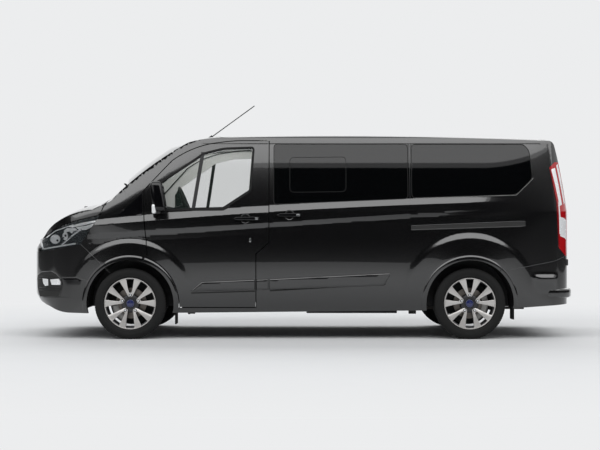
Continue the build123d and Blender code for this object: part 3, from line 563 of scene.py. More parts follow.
def relief(x, z):
    """How far the creases and the flares stand out, in millimetres."""
    shoulder = min(linear_chain(LOWER_FACE, z - lower_line(x)), linear_chain(UPPER_FACE, z - upper_line(x)))
    out = shoulder * hump(SHOULDER_X, x)
    shelf = hump(SHELF_X, x) * SHELF_MM
    if z < SHELF_Z:
        out += shelf * smooth_step(SHELF_Z - SHELF_BELOW, SHELF_Z, z)
    else:
        out += shelf * (1 - smooth_step(SHELF_Z, SHELF_Z + SHELF_ABOVE, z))
    for wheel_x, foot, top in FLARES:
        radius = math.hypot(x - wheel_x, z - WHEEL_Z)
        if radius < foot:
            upward = max(0, z - WHEEL_Z) / max(radius, 1)
            spread = SPREAD_MM * min(1, (foot - radius) / SPREAD_REACH)
            flare = (1 - smooth_step(top, foot, radius)) * FLARE_MM + spread
            out = max(out * smooth_step(top, foot + FLARE_BLEND, radius), flare * upward ** FLARE_FADE)
    if x < CROWN[-1][0] and z > CROWN_FOOT_Z:
        below = min(edge_distance(x, z, a, b) for a, b in zip(CROWN, CROWN[1:]))
        out -= CROWN_MM * max(0, 1 - below / CROWN_REACH) ** 2
    return out


def side_y(x, z):
    """Half width of the dressed body, in millimetres."""
    a, b = along(section, z), plan_width(x, z)
    mix = max(0.0, ROUNDING - abs(a - b)) / ROUNDING
    return min(a, b) - mix * mix * ROUNDING / 4 + relief(x, z) * smooth_step(*RELIEF_START, x)


def hollow(x, z):
    """Depth of the finger hollows in the doors."""
    return max(
        deep * (1 - smooth_step(0.35, 1, math.hypot(x - bowl_x, z - bowl_z) / radius))
        for bowl_x, bowl_z, radius, deep in BOWLS
    )


print("shoulder stands out", round(relief(0, 1240), 1), "mm")

# %% [markdown]
# ## Body panels
# A solid's mesh comes as loose triangles. The copy is merged first, then sliced by planes every
# few centimetres so that it has points enough to follow the surface, and its outer points move
# out or in. Edges sharper than a set angle stay crisp; the rest shade smoothly.

# %% Helpers for panels
SLICE_X, SLICE_Z = 24, 18
# points nearer than this, in metres, are one, and a fine cut reaches this far, in millimetres
JOIN_M, FINE_REACH = 0.00002, 40
CRISP = math.radians(32)
AXES = [Vector((1, 0, 0)), Vector((0, 1, 0)), Vector((0, 0, 1))]
# skin points lie this near to the solid's side, and the nose ahead of this x has none
SKIN_MM, NOSE_X = 2.5, -2560


def mesh_piece(name, mesh, finishes, body, replaced=()):
    """Turns a bmesh into a finished piece that rides on a body. Finishes is one material or a list."""
    for edge in mesh.edges:
        edge.smooth = not (len(edge.link_faces) == 2 and edge.calc_face_angle(0) > CRISP)
    for face in mesh.faces:
        face.smooth = True
    piece = object_of(name, mesh)
    materials = finishes if isinstance(finishes, (list, tuple)) else [finishes]
    for material in materials:
        piece.data.materials.append(material)
    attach(piece, body)
    if replaced:
        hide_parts(*replaced)
    return piece


def solid_copy(node_name):
    """A bmesh of a solid node, with its loose triangles joined."""
    mesh = bmesh_of(nodes[node_name].data)
    bmesh.ops.remove_doubles(mesh, verts=mesh.verts, dist=JOIN_M)
    return mesh


def with_corners(faces):
    """Faces with their edges and points, as a cut needs them."""
    return faces + list({e for f in faces for e in f.edges}) + list({v for f in faces for v in f.verts})


def cut_across(mesh, geometry, axis, place):
    """Cuts geometry by one plane across an axis, and gives back what there is then."""
    cut = bmesh.ops.bisect_plane(
        mesh, geom=geometry, plane_co=AXES[axis] * place, plane_no=AXES[axis], dist=0.00001,
    )
    return cut["geom"]


def sliced(mesh, axis, step_mm):
    """Cuts a mesh by planes at even steps across one axis."""
    values = [v.co[axis] for v in mesh.verts]
    step = step_mm * MM
    for i in range(math.ceil(min(values) / step), math.floor(max(values) / step) + 1):
        cut_across(mesh, mesh.verts[:] + mesh.edges[:] + mesh.faces[:], axis, i * step)


def cut_finely(mesh, axis, start, end, step_mm):
    """Cuts a mesh more finely between two places on one axis."""
    for place_mm in range(start, end, step_mm):
        near = [f for f in mesh.faces if abs(f.calc_center_median()[axis] / MM - place_mm) < FINE_REACH]
        cut_across(mesh, with_corners(near), axis, place_mm * MM)


def cut_along(mesh, measure, place, values, region):
    """Cuts a mesh along curves, where a measure of x and z has given values. Place gives z back."""
    near = [f for f in mesh.faces if all(region(v.co.x / MM, v.co.z / MM) for v in f.verts)]
    if not near:
        return
    kept = {v: v.co.z for f in near for v in f.verts}
    for vert, z in kept.items():
        vert.co.z = measure(vert.co.x / MM, z / MM) * MM
    geometry = near + list({e for f in near for e in f.edges}) + list(kept)
    for value in values:
        geometry = cut_across(mesh, geometry, 2, value * MM)
    for item in geometry:
        if isinstance(item, bmesh.types.BMVert):
            item.co.z = kept[item] if item in kept else place(item.co.x / MM, item.co.z / MM) * MM


# %% Cuts on the creases
LOWER_CUTS = [1050, 1076, 1103, 1127, 1152, 1176, 1200, 1224]
UPPER_CUTS = [1248, 1278, 1308]
SHELF_CUTS = [SHELF_Z, SHELF_Z + 17, SHELF_Z + 35]
CROWN_CUTS = [-20, 5, 30, 60, 90, 130, 170, 215, 260]
FLARE_CUTS = 6


def cut_creases(mesh):
    """Puts edges exactly on the shoulder's creases, the flares' slopes and the bumper's shelf."""
    def shoulder(x, z):
        return -2150 < x < 2100 and 900 < z < 1500

    for line, values in ((lower_line, LOWER_CUTS), (upper_line, UPPER_CUTS)):
        cut_along(mesh, lambda x, z: z - line(x), lambda x, value: value + line(x), values, shoulder)
    cut_along(mesh, lambda x, z: z, lambda x, value: value, SHELF_CUTS, lambda x, z: x > 2000 and z < 800)
    cut_along(
        mesh, lambda x, z: linear_chain(CROWN, x) - z, lambda x, value: linear_chain(CROWN, x) - value,
        CROWN_CUTS, lambda x, z: x < CROWN[-1][0] and z > 900,
    )
    for wheel_x, foot, top in FLARES:
        cut_along(
            mesh, lambda x, z: math.hypot(x - wheel_x, z - WHEEL_Z),
            lambda x, value: WHEEL_Z + math.sqrt(max(value ** 2 - (x - wheel_x) ** 2, 0)),
            [top + (foot - top) * i / FLARE_CUTS for i in range(FLARE_CUTS + 1)],
            lambda x, z: z > WHEEL_Z + 200 and abs(x - wheel_x) < foot - 60,
        )


# %% Nose
# height, and how far the nose leans back there
NOSE_IN = [(250, 62), (330, 26), (400, 0), (880, 0), (930, 20), (1010, 28), (1120, 12), (1250, 0)]
# a flat behind the plate and the lower intake: its depth, half width and height range
RECESS_MM, RECESS_Y, RECESS_Z = 8, (530, 465), (370, 394, 640, 670)
# rise of the lower edge, and the height up to which it is felt
RISE_MM, RISE_FOOT_Z, RISE_REACH = 78, 250, 260
# between these lengths the rise, the lean and the recess come in
RISE_X, LEAN_X, RECESS_X = (-2250, -2640), (-2330, -2600), (-2600, -2640)


def nose_shape(mesh):
    """Leans the nose back at its top and its foot, and lifts its lower edge towards the front."""
    for vert in mesh.verts:
        x, y, z = (c / MM for c in vert.co)
        if x < RISE_X[0]:
            recess = smooth_step(*RECESS_Y, abs(y)) * hump(RECESS_Z, z)
            rise = smooth_step(*RISE_X, x) * max(0, 1 - (z - RISE_FOOT_Z) / RISE_REACH)
            vert.co.x += linear_chain(NOSE_IN, z) * smooth_step(*LEAN_X, x) * MM
            vert.co.x += RECESS_MM * recess * smooth_step(*RECESS_X, x) * MM
            vert.co.z += RISE_MM * rise * MM


# %% Helper for a pressed panel
# inner faces above this height, in metres, are lined with felt, and those below with soft trim
LINING_SPLIT_Z = 1.25
INNER_FACE = 0.35


def onto_side(mesh):
    """Moves the outer skin's points onto the side surface."""
    moved = 0
    for vert in mesh.verts:
        x, y, z = (c / MM for c in vert.co)
        if x >= NOSE_X and abs(y) >= solid_width(x, z) - SKIN_MM:
            vert.co.y = math.copysign((side_y(x, z) - hollow(x, z)) * MM, y)
            moved += 1
    return moved


def inwards(node_name, face):
    """How squarely a face looks into the vehicle."""
    if node_name in ("roof_panel", "bonnet"):
        return -face.normal.z
    if node_name == "tailgate":
        return -face.normal.x
    return -face.normal.y * math.copysign(1, face.calc_center_median().y)


def pressed_panel(node_name, body, slices=(SLICE_X, SLICE_Z)):
    """Makes the dressed copy of a solid panel, which replaces it."""
    mesh = solid_copy(node_name)
    sliced(mesh, 0, slices[0])
    sliced(mesh, 2, slices[1])
    if "door" in node_name:
        bowl_x, bowl_z, radius, _ = BOWLS[0] if "front" in node_name else BOWLS[1]
        cut_finely(mesh, 0, bowl_x - radius, bowl_x + radius + 1, 6)
        cut_finely(mesh, 2, bowl_z - radius, bowl_z + radius + 1, 6)
    if node_name in ("roof_panel", "bonnet", "front_bumper"):
        sliced(mesh, 1, 60)
    cut_creases(mesh)
    moved = onto_side(mesh)
    if node_name in ("front_bumper", "headlamps", "bonnet"):
        nose_shape(mesh)
    bmesh.ops.recalc_face_normals(mesh, faces=mesh.faces)
    if node_name != "bonnet":
        for face in mesh.faces:
            if inwards(node_name, face) > INNER_FACE:
                face.material_index = 1 if face.calc_center_median().z > LINING_SPLIT_Z else 2
    print(node_name, len(mesh.verts), "points,", moved, "moved")
    return mesh_piece("skin_" + node_name, mesh, [paint, headliner, soft_trim], body, [node_name])


# %% Side panels, fenders and doors
for side in ("left", "right"):
    pressed_panel("side_panel_" + side, "shell")
    pressed_panel("front_fender_" + side, "shell")
    pressed_panel("front_door_" + side, "door_" + side)
    pressed_panel("sliding_door_" + side, "shell")

# %% Bumpers, bonnet, roof and tailgate
for node_name, body, slices in (
    ("front_bumper", "shell", (30, 24)), ("rear_bumper", "shell", (24, 18)), ("bonnet", "bonnet", (36, 24)),
    ("roof_panel", "shell", (36, 24)), ("tailgate", "tailgate", (30, 24)),
):
    pressed_panel(node_name, body, slices)

# %% Windscreen
SCREEN_BULGE = 64
SCREEN_FOOT_Z, SCREEN_RISE = 1482, 458
# half width at the foot, and how much narrower the top is
SCREEN_HALF, SCREEN_TAPER = 800, 100
SCREEN_NORMAL = Vector((-0.537, 0, 0.844))
# shares of the height between which the swell comes and goes
SCREEN_SWELL = (0, 0.12, 0.8, 1)


def bulged_screen():
    """The windscreen, swollen forwards between its edges."""
    mesh = solid_copy("windscreen")
    for axis, step in ((0, 45), (1, 50)):
        sliced(mesh, axis, step)
    for vert in mesh.verts:
        up = (vert.co.z / MM - SCREEN_FOOT_Z) / SCREEN_RISE
        across = vert.co.y / MM / (SCREEN_HALF - SCREEN_TAPER * up)
        swell = SCREEN_BULGE * max(0, 1 - across ** 2) * hump(SCREEN_SWELL, up)
        vert.co += SCREEN_NORMAL * (swell * MM)
    return mesh


mesh_piece("skin_windscreen", bulged_screen(), screen_glass, "shell", ["windscreen"])
print("windscreen bulged")

# %% Lamp housings
# The outer faces of a lamp are its lens; its other faces are the dark housing behind.
LENS_FACE = 0.4
for node_name, lens, middle in (
    ("headlamps", lamp_lens, (-1.9, 0, 0.75)), ("tail_lamps", red_lens, (2.0, 0, 1.2)),
):
    piece = pressed_panel(node_name, "shell", (24, 18))
    piece.data.materials.clear()
    for material in (lens, gloss_plastic):
        piece.data.materials.append(material)
    for face in piece.data.polygons:
        out = (face.center - Vector(middle)).normalized()
        face.material_index = 0 if out.dot(face.normal) > LENS_FACE else 1

# %% [markdown]
# ## Trim that follows the side
# Mouldings, seals, glass and handles are first made flat, as a plate with the outline's length
# and height. The plate is bevelled while it is flat, cut across, and then laid onto the side
# surface, so that it follows the body's curves at an even distance.


# %% Helpers for plates
def to_side(mesh, side):
    """Leaves a left piece as it is, or turns it into the right one."""
    if side == "right":
        bmesh.ops.scale(mesh, verts=mesh.verts, vec=(1, -1, 1))
        bmesh.ops.reverse_faces(mesh, faces=mesh.faces)
    return mesh


def joined(target, source, material_index=None):
    """Adds one bmesh to another."""
    if material_index is not None:
        for face in source.faces:
            face.material_index = material_index
    data = bpy.data.meshes.new("passing")
    source.to_mesh(data)
    source.free()
    target.from_mesh(data)
    bpy.data.meshes.remove(data)
    return target


def on_circle(cx, cz, rx, rz, angle):
    return cx + rx * math.cos(angle), cz + rz * math.sin(angle)


def circle_points(start, middle, end, count):
    """Points on the circle through three points, without the last."""
    cx, cz, turn = circle_centre(start, middle, end)
    radius = math.hypot(start[0] - cx, start[1] - cz)
    first, last = (math.atan2(p[1] - cz, p[0] - cx) for p in (start, end))
    sweep = (last - first) % (2 * math.pi)
    if turn < 0:
        sweep -= 2 * math.pi
    return [on_circle(cx, cz, radius, radius, first + sweep * i / count) for i in range(count)]


def grown(outline, width):
    """A closed outline, in either direction, with every side moved outwards."""
    area = sum(a[0] * b[1] - b[0] * a[1] for a, b in zip(outline, outline[1:] + outline[:1]))
    return pushed(outline, math.copysign(width, area))


def bevelled(mesh, geometry, offset_mm, segments, affect="EDGES", clamp=False):
    """Rounds edges or corners."""
    bmesh.ops.bevel(
        mesh, geom=geometry, offset=offset_mm * MM, segments=segments, profile=0.5, affect=affect, material=-1,
        clamp_overlap=clamp,
    )


def sharp_edges(mesh, least):
    return [e for e in mesh.edges if len(e.link_faces) == 2 and e.calc_face_angle(0) > least]


def thicken(mesh, low, high, bevel_mm):
    """Gives flat faces at no height a foot at low and a face at high, both outside the side."""
    bmesh.ops.recalc_face_normals(mesh, faces=mesh.faces)
    top = set(points_of(bmesh.ops.extrude_face_region(mesh, geom=mesh.faces[:])))
    for vert in mesh.verts:
        vert.co.y = -(high if vert in top else low) * MM
    bmesh.ops.recalc_face_normals(mesh, faces=mesh.faces)
    if bevel_mm:
        rim = [e for e in sharp_edges(mesh, 0.8) if all(v in top for v in e.verts)]
        bevelled(mesh, rim, bevel_mm, 3, clamp=True)
    return mesh


def rounded_face(outline, corner):
    """One flat face whose corners may be rounded."""
    mesh = bmesh.new()
    mesh.faces.new([mesh.verts.new((x * MM, 0, z * MM)) for x, z in outline])
    if corner:
        bevelled(mesh, mesh.verts[:], corner, 5, "VERTICES", clamp=True)
    return mesh


def plate(outline, low, high, bevel_mm=0.0, corner=0):
    """A closed outline as a plate, in millimetres outside the side."""
    return thicken(rounded_face(outline, corner), low, high, bevel_mm)


def frame_plate(outline, width, low, high, bevel_mm=0.0, corner=0):
    """A closed strip of that width inside the outline."""
    mesh = rounded_face(outline, corner)
    mesh.faces.ensure_lookup_table()
    inside = [mesh.faces[0]]
    bmesh.ops.inset_region(mesh, faces=inside, thickness=width * MM, use_even_offset=True, use_boundary=True)
    bmesh.ops.delete(mesh, geom=inside, context="FACES")
    return thicken(mesh, low, high, bevel_mm)


def strip_plate(points, width, low, high, bevel_mm=0.0):
    """An open strip of that width along a line of points."""
    left, right = [], []
    for i, (x, z) in enumerate(points):
        before, after = points[max(i - 1, 0)], points[min(i + 1, len(points) - 1)]
        dx, dz = after[0] - before[0], after[1] - before[1]
        run = math.hypot(dx, dz)
        left.append((x - dz / run * width / 2, z + dx / run * width / 2))
        right.append((x + dz / run * width / 2, z - dx / run * width / 2))
    mesh = bmesh.new()
    rows = [[mesh.verts.new((x * MM, 0, z * MM)) for x, z in line] for line in (left, right)]
    for i in range(len(points) - 1):
        mesh.faces.new((rows[0][i], rows[0][i + 1], rows[1][i + 1], rows[1][i]))
    return thicken(mesh, low, high, bevel_mm)


def both_sides(name, mesh, finishes, body="shell", replaced=None):
    """Makes the left and the right piece of a left mesh. The body and the node may hold the side's name."""
    for side in ("left", "right"):
        named = [replaced.format(side)] if replaced else ()
        mesh_piece(f"{name}_{side}", to_side(mesh.copy(), side), finishes, body.format(side), named)
    mesh.free()


def lay(name, mesh, finishes, body="shell", replaced=None, step=(30, 24)):
    """Cuts a flat plate at even steps, and lays it onto both sides."""
    sliced(mesh, 0, step[0])
    sliced(mesh, 2, step[1])
    for vert in mesh.verts:
        vert.co.y -= side_y(vert.co.x / MM, vert.co.z / MM) * MM
    both_sides(name, mesh, finishes, body, replaced)


# %% Glass
DOOR_WINDOW = [
    (-467, 1868), (-760, 1858), (-950, 1812), (-1380, 1520), (-1420, 1450), (-1420, 1252), (-760, 1268),
    (-497, 1440),
]
SLIDE_WINDOW = [(-271, 1900), (-271, 1310), (1034, 1364), (1034, 1900)]
QUARTER_WINDOW = [(1070, 1898), (1070, 1372), (2090, 1404), (2250, 1560), (2222, 1840), (2170, 1898)]
CORNER_WINDOW = [(-1790, 1196), (-1550, 1196), (-1550, 1420)]
GLASS_STEP = (24, 24)


def pane(outline, low, high, corner):
    """A window's glass, a little smaller than its opening."""
    return plate(grown(outline, -0.6), low, high, corner=corner)


lay("door_pane", pane(DOOR_WINDOW, -7, -1, 28), clear_glass, "door_{}", "front_door_glass_{}", GLASS_STEP)
side_panes = joined(pane(SLIDE_WINDOW, -6, 0, 34), pane(QUARTER_WINDOW, -6, 0, 38))
lay("privacy_panes", side_panes, privacy_glass, "shell", "side_glass_{}", GLASS_STEP)
lay("corner_pane", pane(CORNER_WINDOW, -6, 0, 8), gloss_plastic, step=GLASS_STEP)
print("side glass laid")

# %% Window seals and bars
lay("door_window_seal", frame_plate(grown(DOOR_WINDOW, 9), 20, -5, 3, 2, 36), rubber, "door_{}")
lay("slide_window_seal", frame_plate(grown(SLIDE_WINDOW, 3), 6, -3, 1.5, 1, 36), rubber)
lay("quarter_window_seal", frame_plate(grown(QUARTER_WINDOW, 3), 6, -3, 1.5, 1, 40), rubber)
OPENING_PANE = [(-117, 1770), (-117, 1424), (434, 1430), (434, 1775)]
lay("opening_pane_seal", frame_plate(OPENING_PANE, 5, -1, 1.2, 0.8, 40), rubber)
WINDOW_BAR = [(-946, 1822), (-981, 1822), (-1071, 1256), (-1036, 1256)]
lay("window_bar", plate(WINDOW_BAR, -8, 3, 2), grained_plastic, "door_{}")
BELT_TRIM = [(-1430, 1254), (-760, 1262), (-700, 1296)]
lay("belt_trim", strip_plate(BELT_TRIM, 22, -3, 6, 3), rubber, "door_{}")

# %% Door seals
# the middle of the gap round the front door, from the roof forwards and down, and from the sill up
DOOR_EDGE = (
    [(-470, 1934.5), (-540, 1934.5)] + circle_points((-540, 1934.5), (-680, 1930.5), (-800, 1916.5), 4)
    + circle_points((-800, 1916.5), (-1062, 1852), (-1269, 1734), 8)
    + [(-1269, 1734), (-1500, 1483), (-1534.5, 1446), (-1534.5, 1225)]
)
DOOR_REAR = [(-1165, 307.5), (-443.5, 307.5), (-443.5, 831), (-317.5, 942), (-317.5, 1934.5), (-480, 1934.5)]
for name, points in (("door_top_seal", DOOR_EDGE), ("door_rear_seal", DOOR_REAR)):
    lay(name, strip_plate(points, 11, -44, -30, 2), rubber)
print("seals laid")

# %% Wheel arch lips
# radius, and how far the lip stands out of the side there
LIP = [(419, -30), (421, 5), (424, 9), (452, 10), (458, 8.5), (469, 1.5), (471, -4)]
# name, wheel x, and the lip's start and end angle
LIPS = [
    ("side_panel_lip", -1666, -9, 71.5), ("fender_lip", -1666, 74.5, 121.5), ("bumper_lip", -1666, 122.5, 189),
    ("rear_lip", 1634, 49, 189), ("rear_bumper_lip", 1634, -3, 48),
]
LIP_STEP_DEG = 2.5


def arch_lip(wheel_x, start, end):
    """A lip's section turned round the wheel, each ring laid at its own distance from the side."""
    mesh = bmesh.new()
    row = []
    for radius, _ in LIP:
        x, z = on_circle(wheel_x, WHEEL_Z, radius, radius, math.radians(start))
        row.append(mesh.verts.new((x * MM, 0, z * MM)))
    edges = [mesh.edges.new(pair) for pair in zip(row, row[1:])]
    bmesh.ops.spin(
        mesh, geom=row + edges, cent=(wheel_x * MM, 0, WHEEL_Z * MM), axis=(0, -1, 0),
        angle=math.radians(end - start), steps=max(6, round((end - start) / LIP_STEP_DEG)),
    )
    for vert in mesh.verts:
        x, z = vert.co.x / MM, vert.co.z / MM
        radius = math.hypot(x - wheel_x, z - WHEEL_Z)
        out = min(LIP, key=lambda station: abs(station[0] - radius))[1]
        vert.co.y = -(side_y(x, z) + out) * MM
    bmesh.ops.recalc_face_normals(mesh, faces=mesh.faces)
    if sum(f.normal.y * f.calc_area() for f in mesh.faces) > 0:
        bmesh.ops.reverse_faces(mesh, faces=mesh.faces)
    return mesh


for name, wheel_x, start, end in LIPS:
    both_sides(name, arch_lip(wheel_x, start, end), paint)
print("arch lips made")

# %% Side mouldings
# the moulding's upper and lower edge, which meet in a tip at both ends
MOULDING_TOP = [(-1078, 466), (-966, 558), (-316, 585), (824, 641), (867, 641)]
MOULDING_FOOT = [(-1078, 458), (-316, 480), (798, 521), (867, 641)]
MOULDING_TIPS = (-1078, 867)


def stretch(line, start, end):
    """The part of a line between two lengths, with both its ends."""
    ends = [(x, linear_chain(line, x)) for x in (start, end)]
    return ends[:1] + [p for p in line if start < p[0] < end] + ends[1:]


for name, start, end, body in (
    ("door_moulding", -1078, -452, "door_{}"), ("pillar_moulding", -439, -322, "shell"),
    ("slide_moulding", -313, 867, "shell"),
):
    foot = [p for p in stretch(MOULDING_FOOT, start, end) if p[0] not in MOULDING_TIPS]
    lay(name, plate(stretch(MOULDING_TOP, start, end) + foot[::-1], -3, 20, 13), paint, body)


# a dark matte strip under the moulding: the painted shadow of the moulding's undercut
def below_foot(x):
    return x, linear_chain(MOULDING_FOOT, x) - 10


for name, gap, body in (
    ("door_shadow_gap", [(-1072, 447), below_foot(-1066), below_foot(-452)], "door_{}"),
    ("slide_painted_shadow", [below_foot(-307), below_foot(812)], "shell"),
):
    lay(name, strip_plate(gap, 12, -1, 2.5, 1), underbody, body)
print("mouldings laid")

# %% Handles
for name, start, end, z, body in (("front", -657, -411, 1169, "door_{}"), ("slide", -237, -9, 1204, "shell")):
    bar = [
        (start, z + 3), (start + 26, z + 15), (end - 60, z + 18), (end - 8, z + 16), (end, z + 5),
        (end, z - 10), (end - 12, z - 16), (start + 26, z - 11), (start, z - 5),
    ]
    lay(f"{name}_handle", plate(bar, -1, 27, 9, 3), gloss_plastic, body)
    cover = [(end - 42, z + 8), (end - 12, z + 8), (end - 9, z), (end - 12, z - 8), (end - 42, z - 8)]
    lay(f"{name}_handle_lock", plate(cover, 24, 29, 2, 3), chrome, body)
KEY_LOCK = [
    (-510, 961), (-505, 976), (-499, 981), (-493, 976), (-488, 961), (-493, 946), (-499, 941), (-505, 946),
]
lay("key_lock", plate(KEY_LOCK, -1, 3, 1.5), chrome, "door_{}")
print("handles laid")

# %% Sliding door rail
RAIL = [(1061, 1096), (2120, 1140), (2171, 1138), (2171, 1104), (2120, 1097), (1061, 1063)]
# a dark matte plate just proud of the side, in place of the slot's recess: painted shade inside the slot
lay("rail_slot_painted_shade", plate(RAIL, -4, 0.8, 0.6), underbody)
lay("rail_lip", strip_plate([(1061, 1060), (2120, 1094), (2172, 1101)], 9, -2, 4, 3), paint)
lay("rail_brow", strip_plate([(1061, 1099), (2120, 1143), (2172, 1141)], 9, -2, 3, 2.5), paint)

# %% [markdown]
# ## Lamps
# Behind a clear lens a headlamp holds silvered bowls, bulbs and bezels; a tail lamp is a set of
# red and clear fields. They are laid on the side as the trim is: the bowls below the lens, and
# the tail lamp's fields just proud of the red housing.


# %% Headlamp inside
def oval(x, z, half_x, half_z, count=24):
    return [on_circle(x, z, half_x, half_z, 2 * math.pi * i / count) for i in range(count)]


LAMP_STEP = (12, 16)
BULBS = [(-2382, 957, 12, 11), (-2302, 1005, 11, 12), (-2322, 984, 8, 8)]
CHEVRON = [
    (-2319, 1053), (-2286, 1079), (-2202, 1077), (-2179, 1055), (-2224, 1048), (-2237, 1025), (-2263, 1045),
    (-2314, 1035),
]
BAND_UPPER = [(-2280, 1091), (-2146, 1128), (-1989, 1157), (-2000, 1133), (-2124, 1104), (-2235, 1082)]
BAND_LOWER = [(-2202, 1085), (-2102, 1101), (-2014, 1123), (-2035, 1089), (-2096, 1061), (-2163, 1057)]
BEZEL_LINE = [(-2342, 912), (-2280, 966), (-2213, 1022), (-2140, 1069)]
FRONT_STRIP = [(-2558, 975), (-2563, 933), (-2540, 872)]
FOOT_LINE = [(-2536, 872), (-2393, 896), (-2200, 928)]
BROW_LINE = [(-2500, 985), (-2400, 1052), (-2300, 1085), (-2225, 1112)]
bulbs = plate(oval(*BULBS[0]), -16, -8, 3)
for bulb in BULBS[1:]:
    joined(bulbs, plate(oval(*bulb), -16, -8, 3))
for name, mesh, material in (
    ("main_reflector", plate(oval(-2407, 970, 54, 46), -30, -14, 9), silvered),
    ("dip_reflector", plate(oval(-2306, 1000, 27, 40), -28, -14, 7), silvered),
    ("lamp_chevron", plate(CHEVRON, -24, -9, 3), silvered),
    ("lamp_band_upper", plate(BAND_UPPER, -22, -8, 3), silvered),
    ("lamp_band_lower", plate(BAND_LOWER, -24, -11, 3), silvered),
    ("lamp_bezel_line", strip_plate(BEZEL_LINE, 17, -20, -6, 4), chrome),
    ("lamp_front_strip", strip_plate(FRONT_STRIP, 22, -18, -6, 4), silvered),
    ("lamp_foot_line", strip_plate(FOOT_LINE, 14, -20, -6, 4), silvered),
    ("lamp_brow_line", strip_plate(BROW_LINE, 9, -20, -8, 3), silvered),
    ("lamp_bulbs", bulbs, gloss_plastic),
):
    lay(name, mesh, material, step=LAMP_STEP)

# %% Tail lamp fields
TAIL_STEP = (8, 24)
TAIL_FIELDS = {
    "tail_clear_strip": [(2437, 1650), (2478, 1668), (2513, 1491), (2543, 1305), (2514, 1294), (2476, 1491)],
    "tail_clear_edge": [(2500, 1340), (2514, 1294), (2523, 1183), (2521, 1021), (2511, 1021), (2506, 1199)],
    "tail_clear_block": [(2523, 1187), (2566, 1175), (2592, 1153), (2592, 965), (2568, 983), (2519, 1000)],
    "tail_clear_corner": [(2494, 1690), (2510, 1708), (2545, 1560), (2578, 1330), (2566, 1310), (2536, 1480)],
}
for name, outline in TAIL_FIELDS.items():
    lay(name, plate(outline, -2, 2.5, 2), silvered, step=TAIL_STEP)
TAIL_EDGE = [(2424, 1660), (2491, 1300), (2498, 1100), (2507, 894)]
lay("tail_lamp_edge", strip_plate(TAIL_EDGE, 9, -2, 4, 2), dark_red, step=TAIL_STEP)
print("lamps filled")

# %% [markdown]
# ## Bumpers and seams
# The front bumper has a louvred pocket with two small lamps on each side. Panel seams are thin
# rolled edges, painted a lighter grey than the body: a painted highlight along each seam line.


# %% A rounded block
def block(centre, size, bevel_mm, segments=3):
    """A block with rounded edges, in millimetres."""
    mesh = bmesh.new()
    bmesh.ops.create_cube(mesh, size=1)
    bmesh.ops.scale(mesh, verts=mesh.verts, vec=[value * MM for value in size])
    bevelled(mesh, mesh.edges[:], bevel_mm, segments)
    bmesh.ops.translate(mesh, verts=mesh.verts, vec=[value * MM for value in centre])
    return mesh


# %% Front bumper details
NOSE_STEP = (14, 18)
POCKET = [
    (-2628, 575), (-2606, 616), (-2553, 648), (-2439, 657), (-2393, 633), (-2342, 581), (-2331, 525),
    (-2336, 477), (-2365, 413), (-2576, 407), (-2606, 484),
]
FOG_OUTER = [(-2457, 576), (-2365, 585), (-2346, 553), (-2350, 525), (-2439, 524)]
FOG_INNER = [(-2542, 584), (-2478, 580), (-2476, 518), (-2513, 512), (-2536, 540)]
FACET = [(-2328, 590), (-2191, 594), (-2140, 572), (-2155, 526), (-2290, 525)]
CREASE = [(-2332, 596), (-2191, 600), (-2129, 577), (-2065, 558)]
SLIT = [(-2590, 400), (-2370, 411), (-2240, 406), (-2370, 402)]
FENDER_SEAM = [(-2150, 922), (-2000, 782), (-1853, 642)]
BUMPER_SEAM = [(2000, 671), (2243, 715), (2440, 753), (2500, 772), (2560, 800)]
# start, end and height of the louvres above and below the fog lamps
LOUVRES = [(-2590, -2372, 606), (-2590, -2372, 584), (-2585, -2350, 494), (-2585, -2350, 470)]
for name, mesh, material in [
    ("pocket_floor", plate(POCKET, -3, 1.5, 1), underbody),
    ("pocket_rim", strip_plate(POCKET[1:9], 10, -2, 8, 4), paint),
    ("fog_lamp_outer", plate(FOG_OUTER, 0, 9, 4), silvered),
    ("fog_lamp_inner", plate(FOG_INNER, 0, 9, 4), silvered),
    ("bumper_facet", plate(FACET, -2, 4, 3), gloss_plastic),
    ("bumper_crease", strip_plate(CREASE, 7, -2, 4, 2.5), paint),
    ("bumper_slit", plate(SLIT, -1, 1.5, 0.5), underbody),
    ("fender_seam_highlight", strip_plate(FENDER_SEAM, 4, -2, 1.4, 1), seam_painted_highlight),
    ("bumper_seam_highlight", strip_plate(BUMPER_SEAM, 4, -2, 1.4, 1), seam_painted_highlight),
] + [
    (f"pocket_louvre_{row}", strip_plate([(start, z), (end, z + 3)], 8, 0, 6, 3), gloss_plastic)
    for row, (start, end, z) in enumerate(LOUVRES)
]:
    lay(name, mesh, material, step=NOSE_STEP)

# %% Edges and cover of the rear pillar
PILLAR = [(1028, 1898), (1028, 1368), (1078, 1370), (1078, 1898)]
QUARTER_EDGE = [(1080, 1366), (2086, 1398), (2243, 1548), (2256, 1566)]
# a bright strip along the quarter window's lower edge: a painted highlight
lay("quarter_window_edge_highlight", strip_plate(QUARTER_EDGE, 4, -3, 1.6, 1), bright_edge_painted_highlight, step=GLASS_STEP)
lay("pillar_cover", plate(PILLAR, -5, 0.6, 0.4), privacy_glass, step=GLASS_STEP)
# the line between the two windows is painted lighter grey: a painted highlight
lay("pillar_seam_highlight", strip_plate([(1053, 1360), (1053, 1904)], 4, -2, 1.2, 0.5), seam_painted_highlight, step=GLASS_STEP)

# %% Rear step
STEP_OUTER = [(2280, 938), (2430, 940), (2540, 915), (2612, 862), (2650, 780), (2664, 600), (2668, 0)]
STEP_INNER = [(2280, 900), (2420, 880), (2500, 850), (2555, 800), (2580, 740), (2590, 600), (2592, 0)]
STEP_FOOT_Z, STEP_HIGH = 398, 92


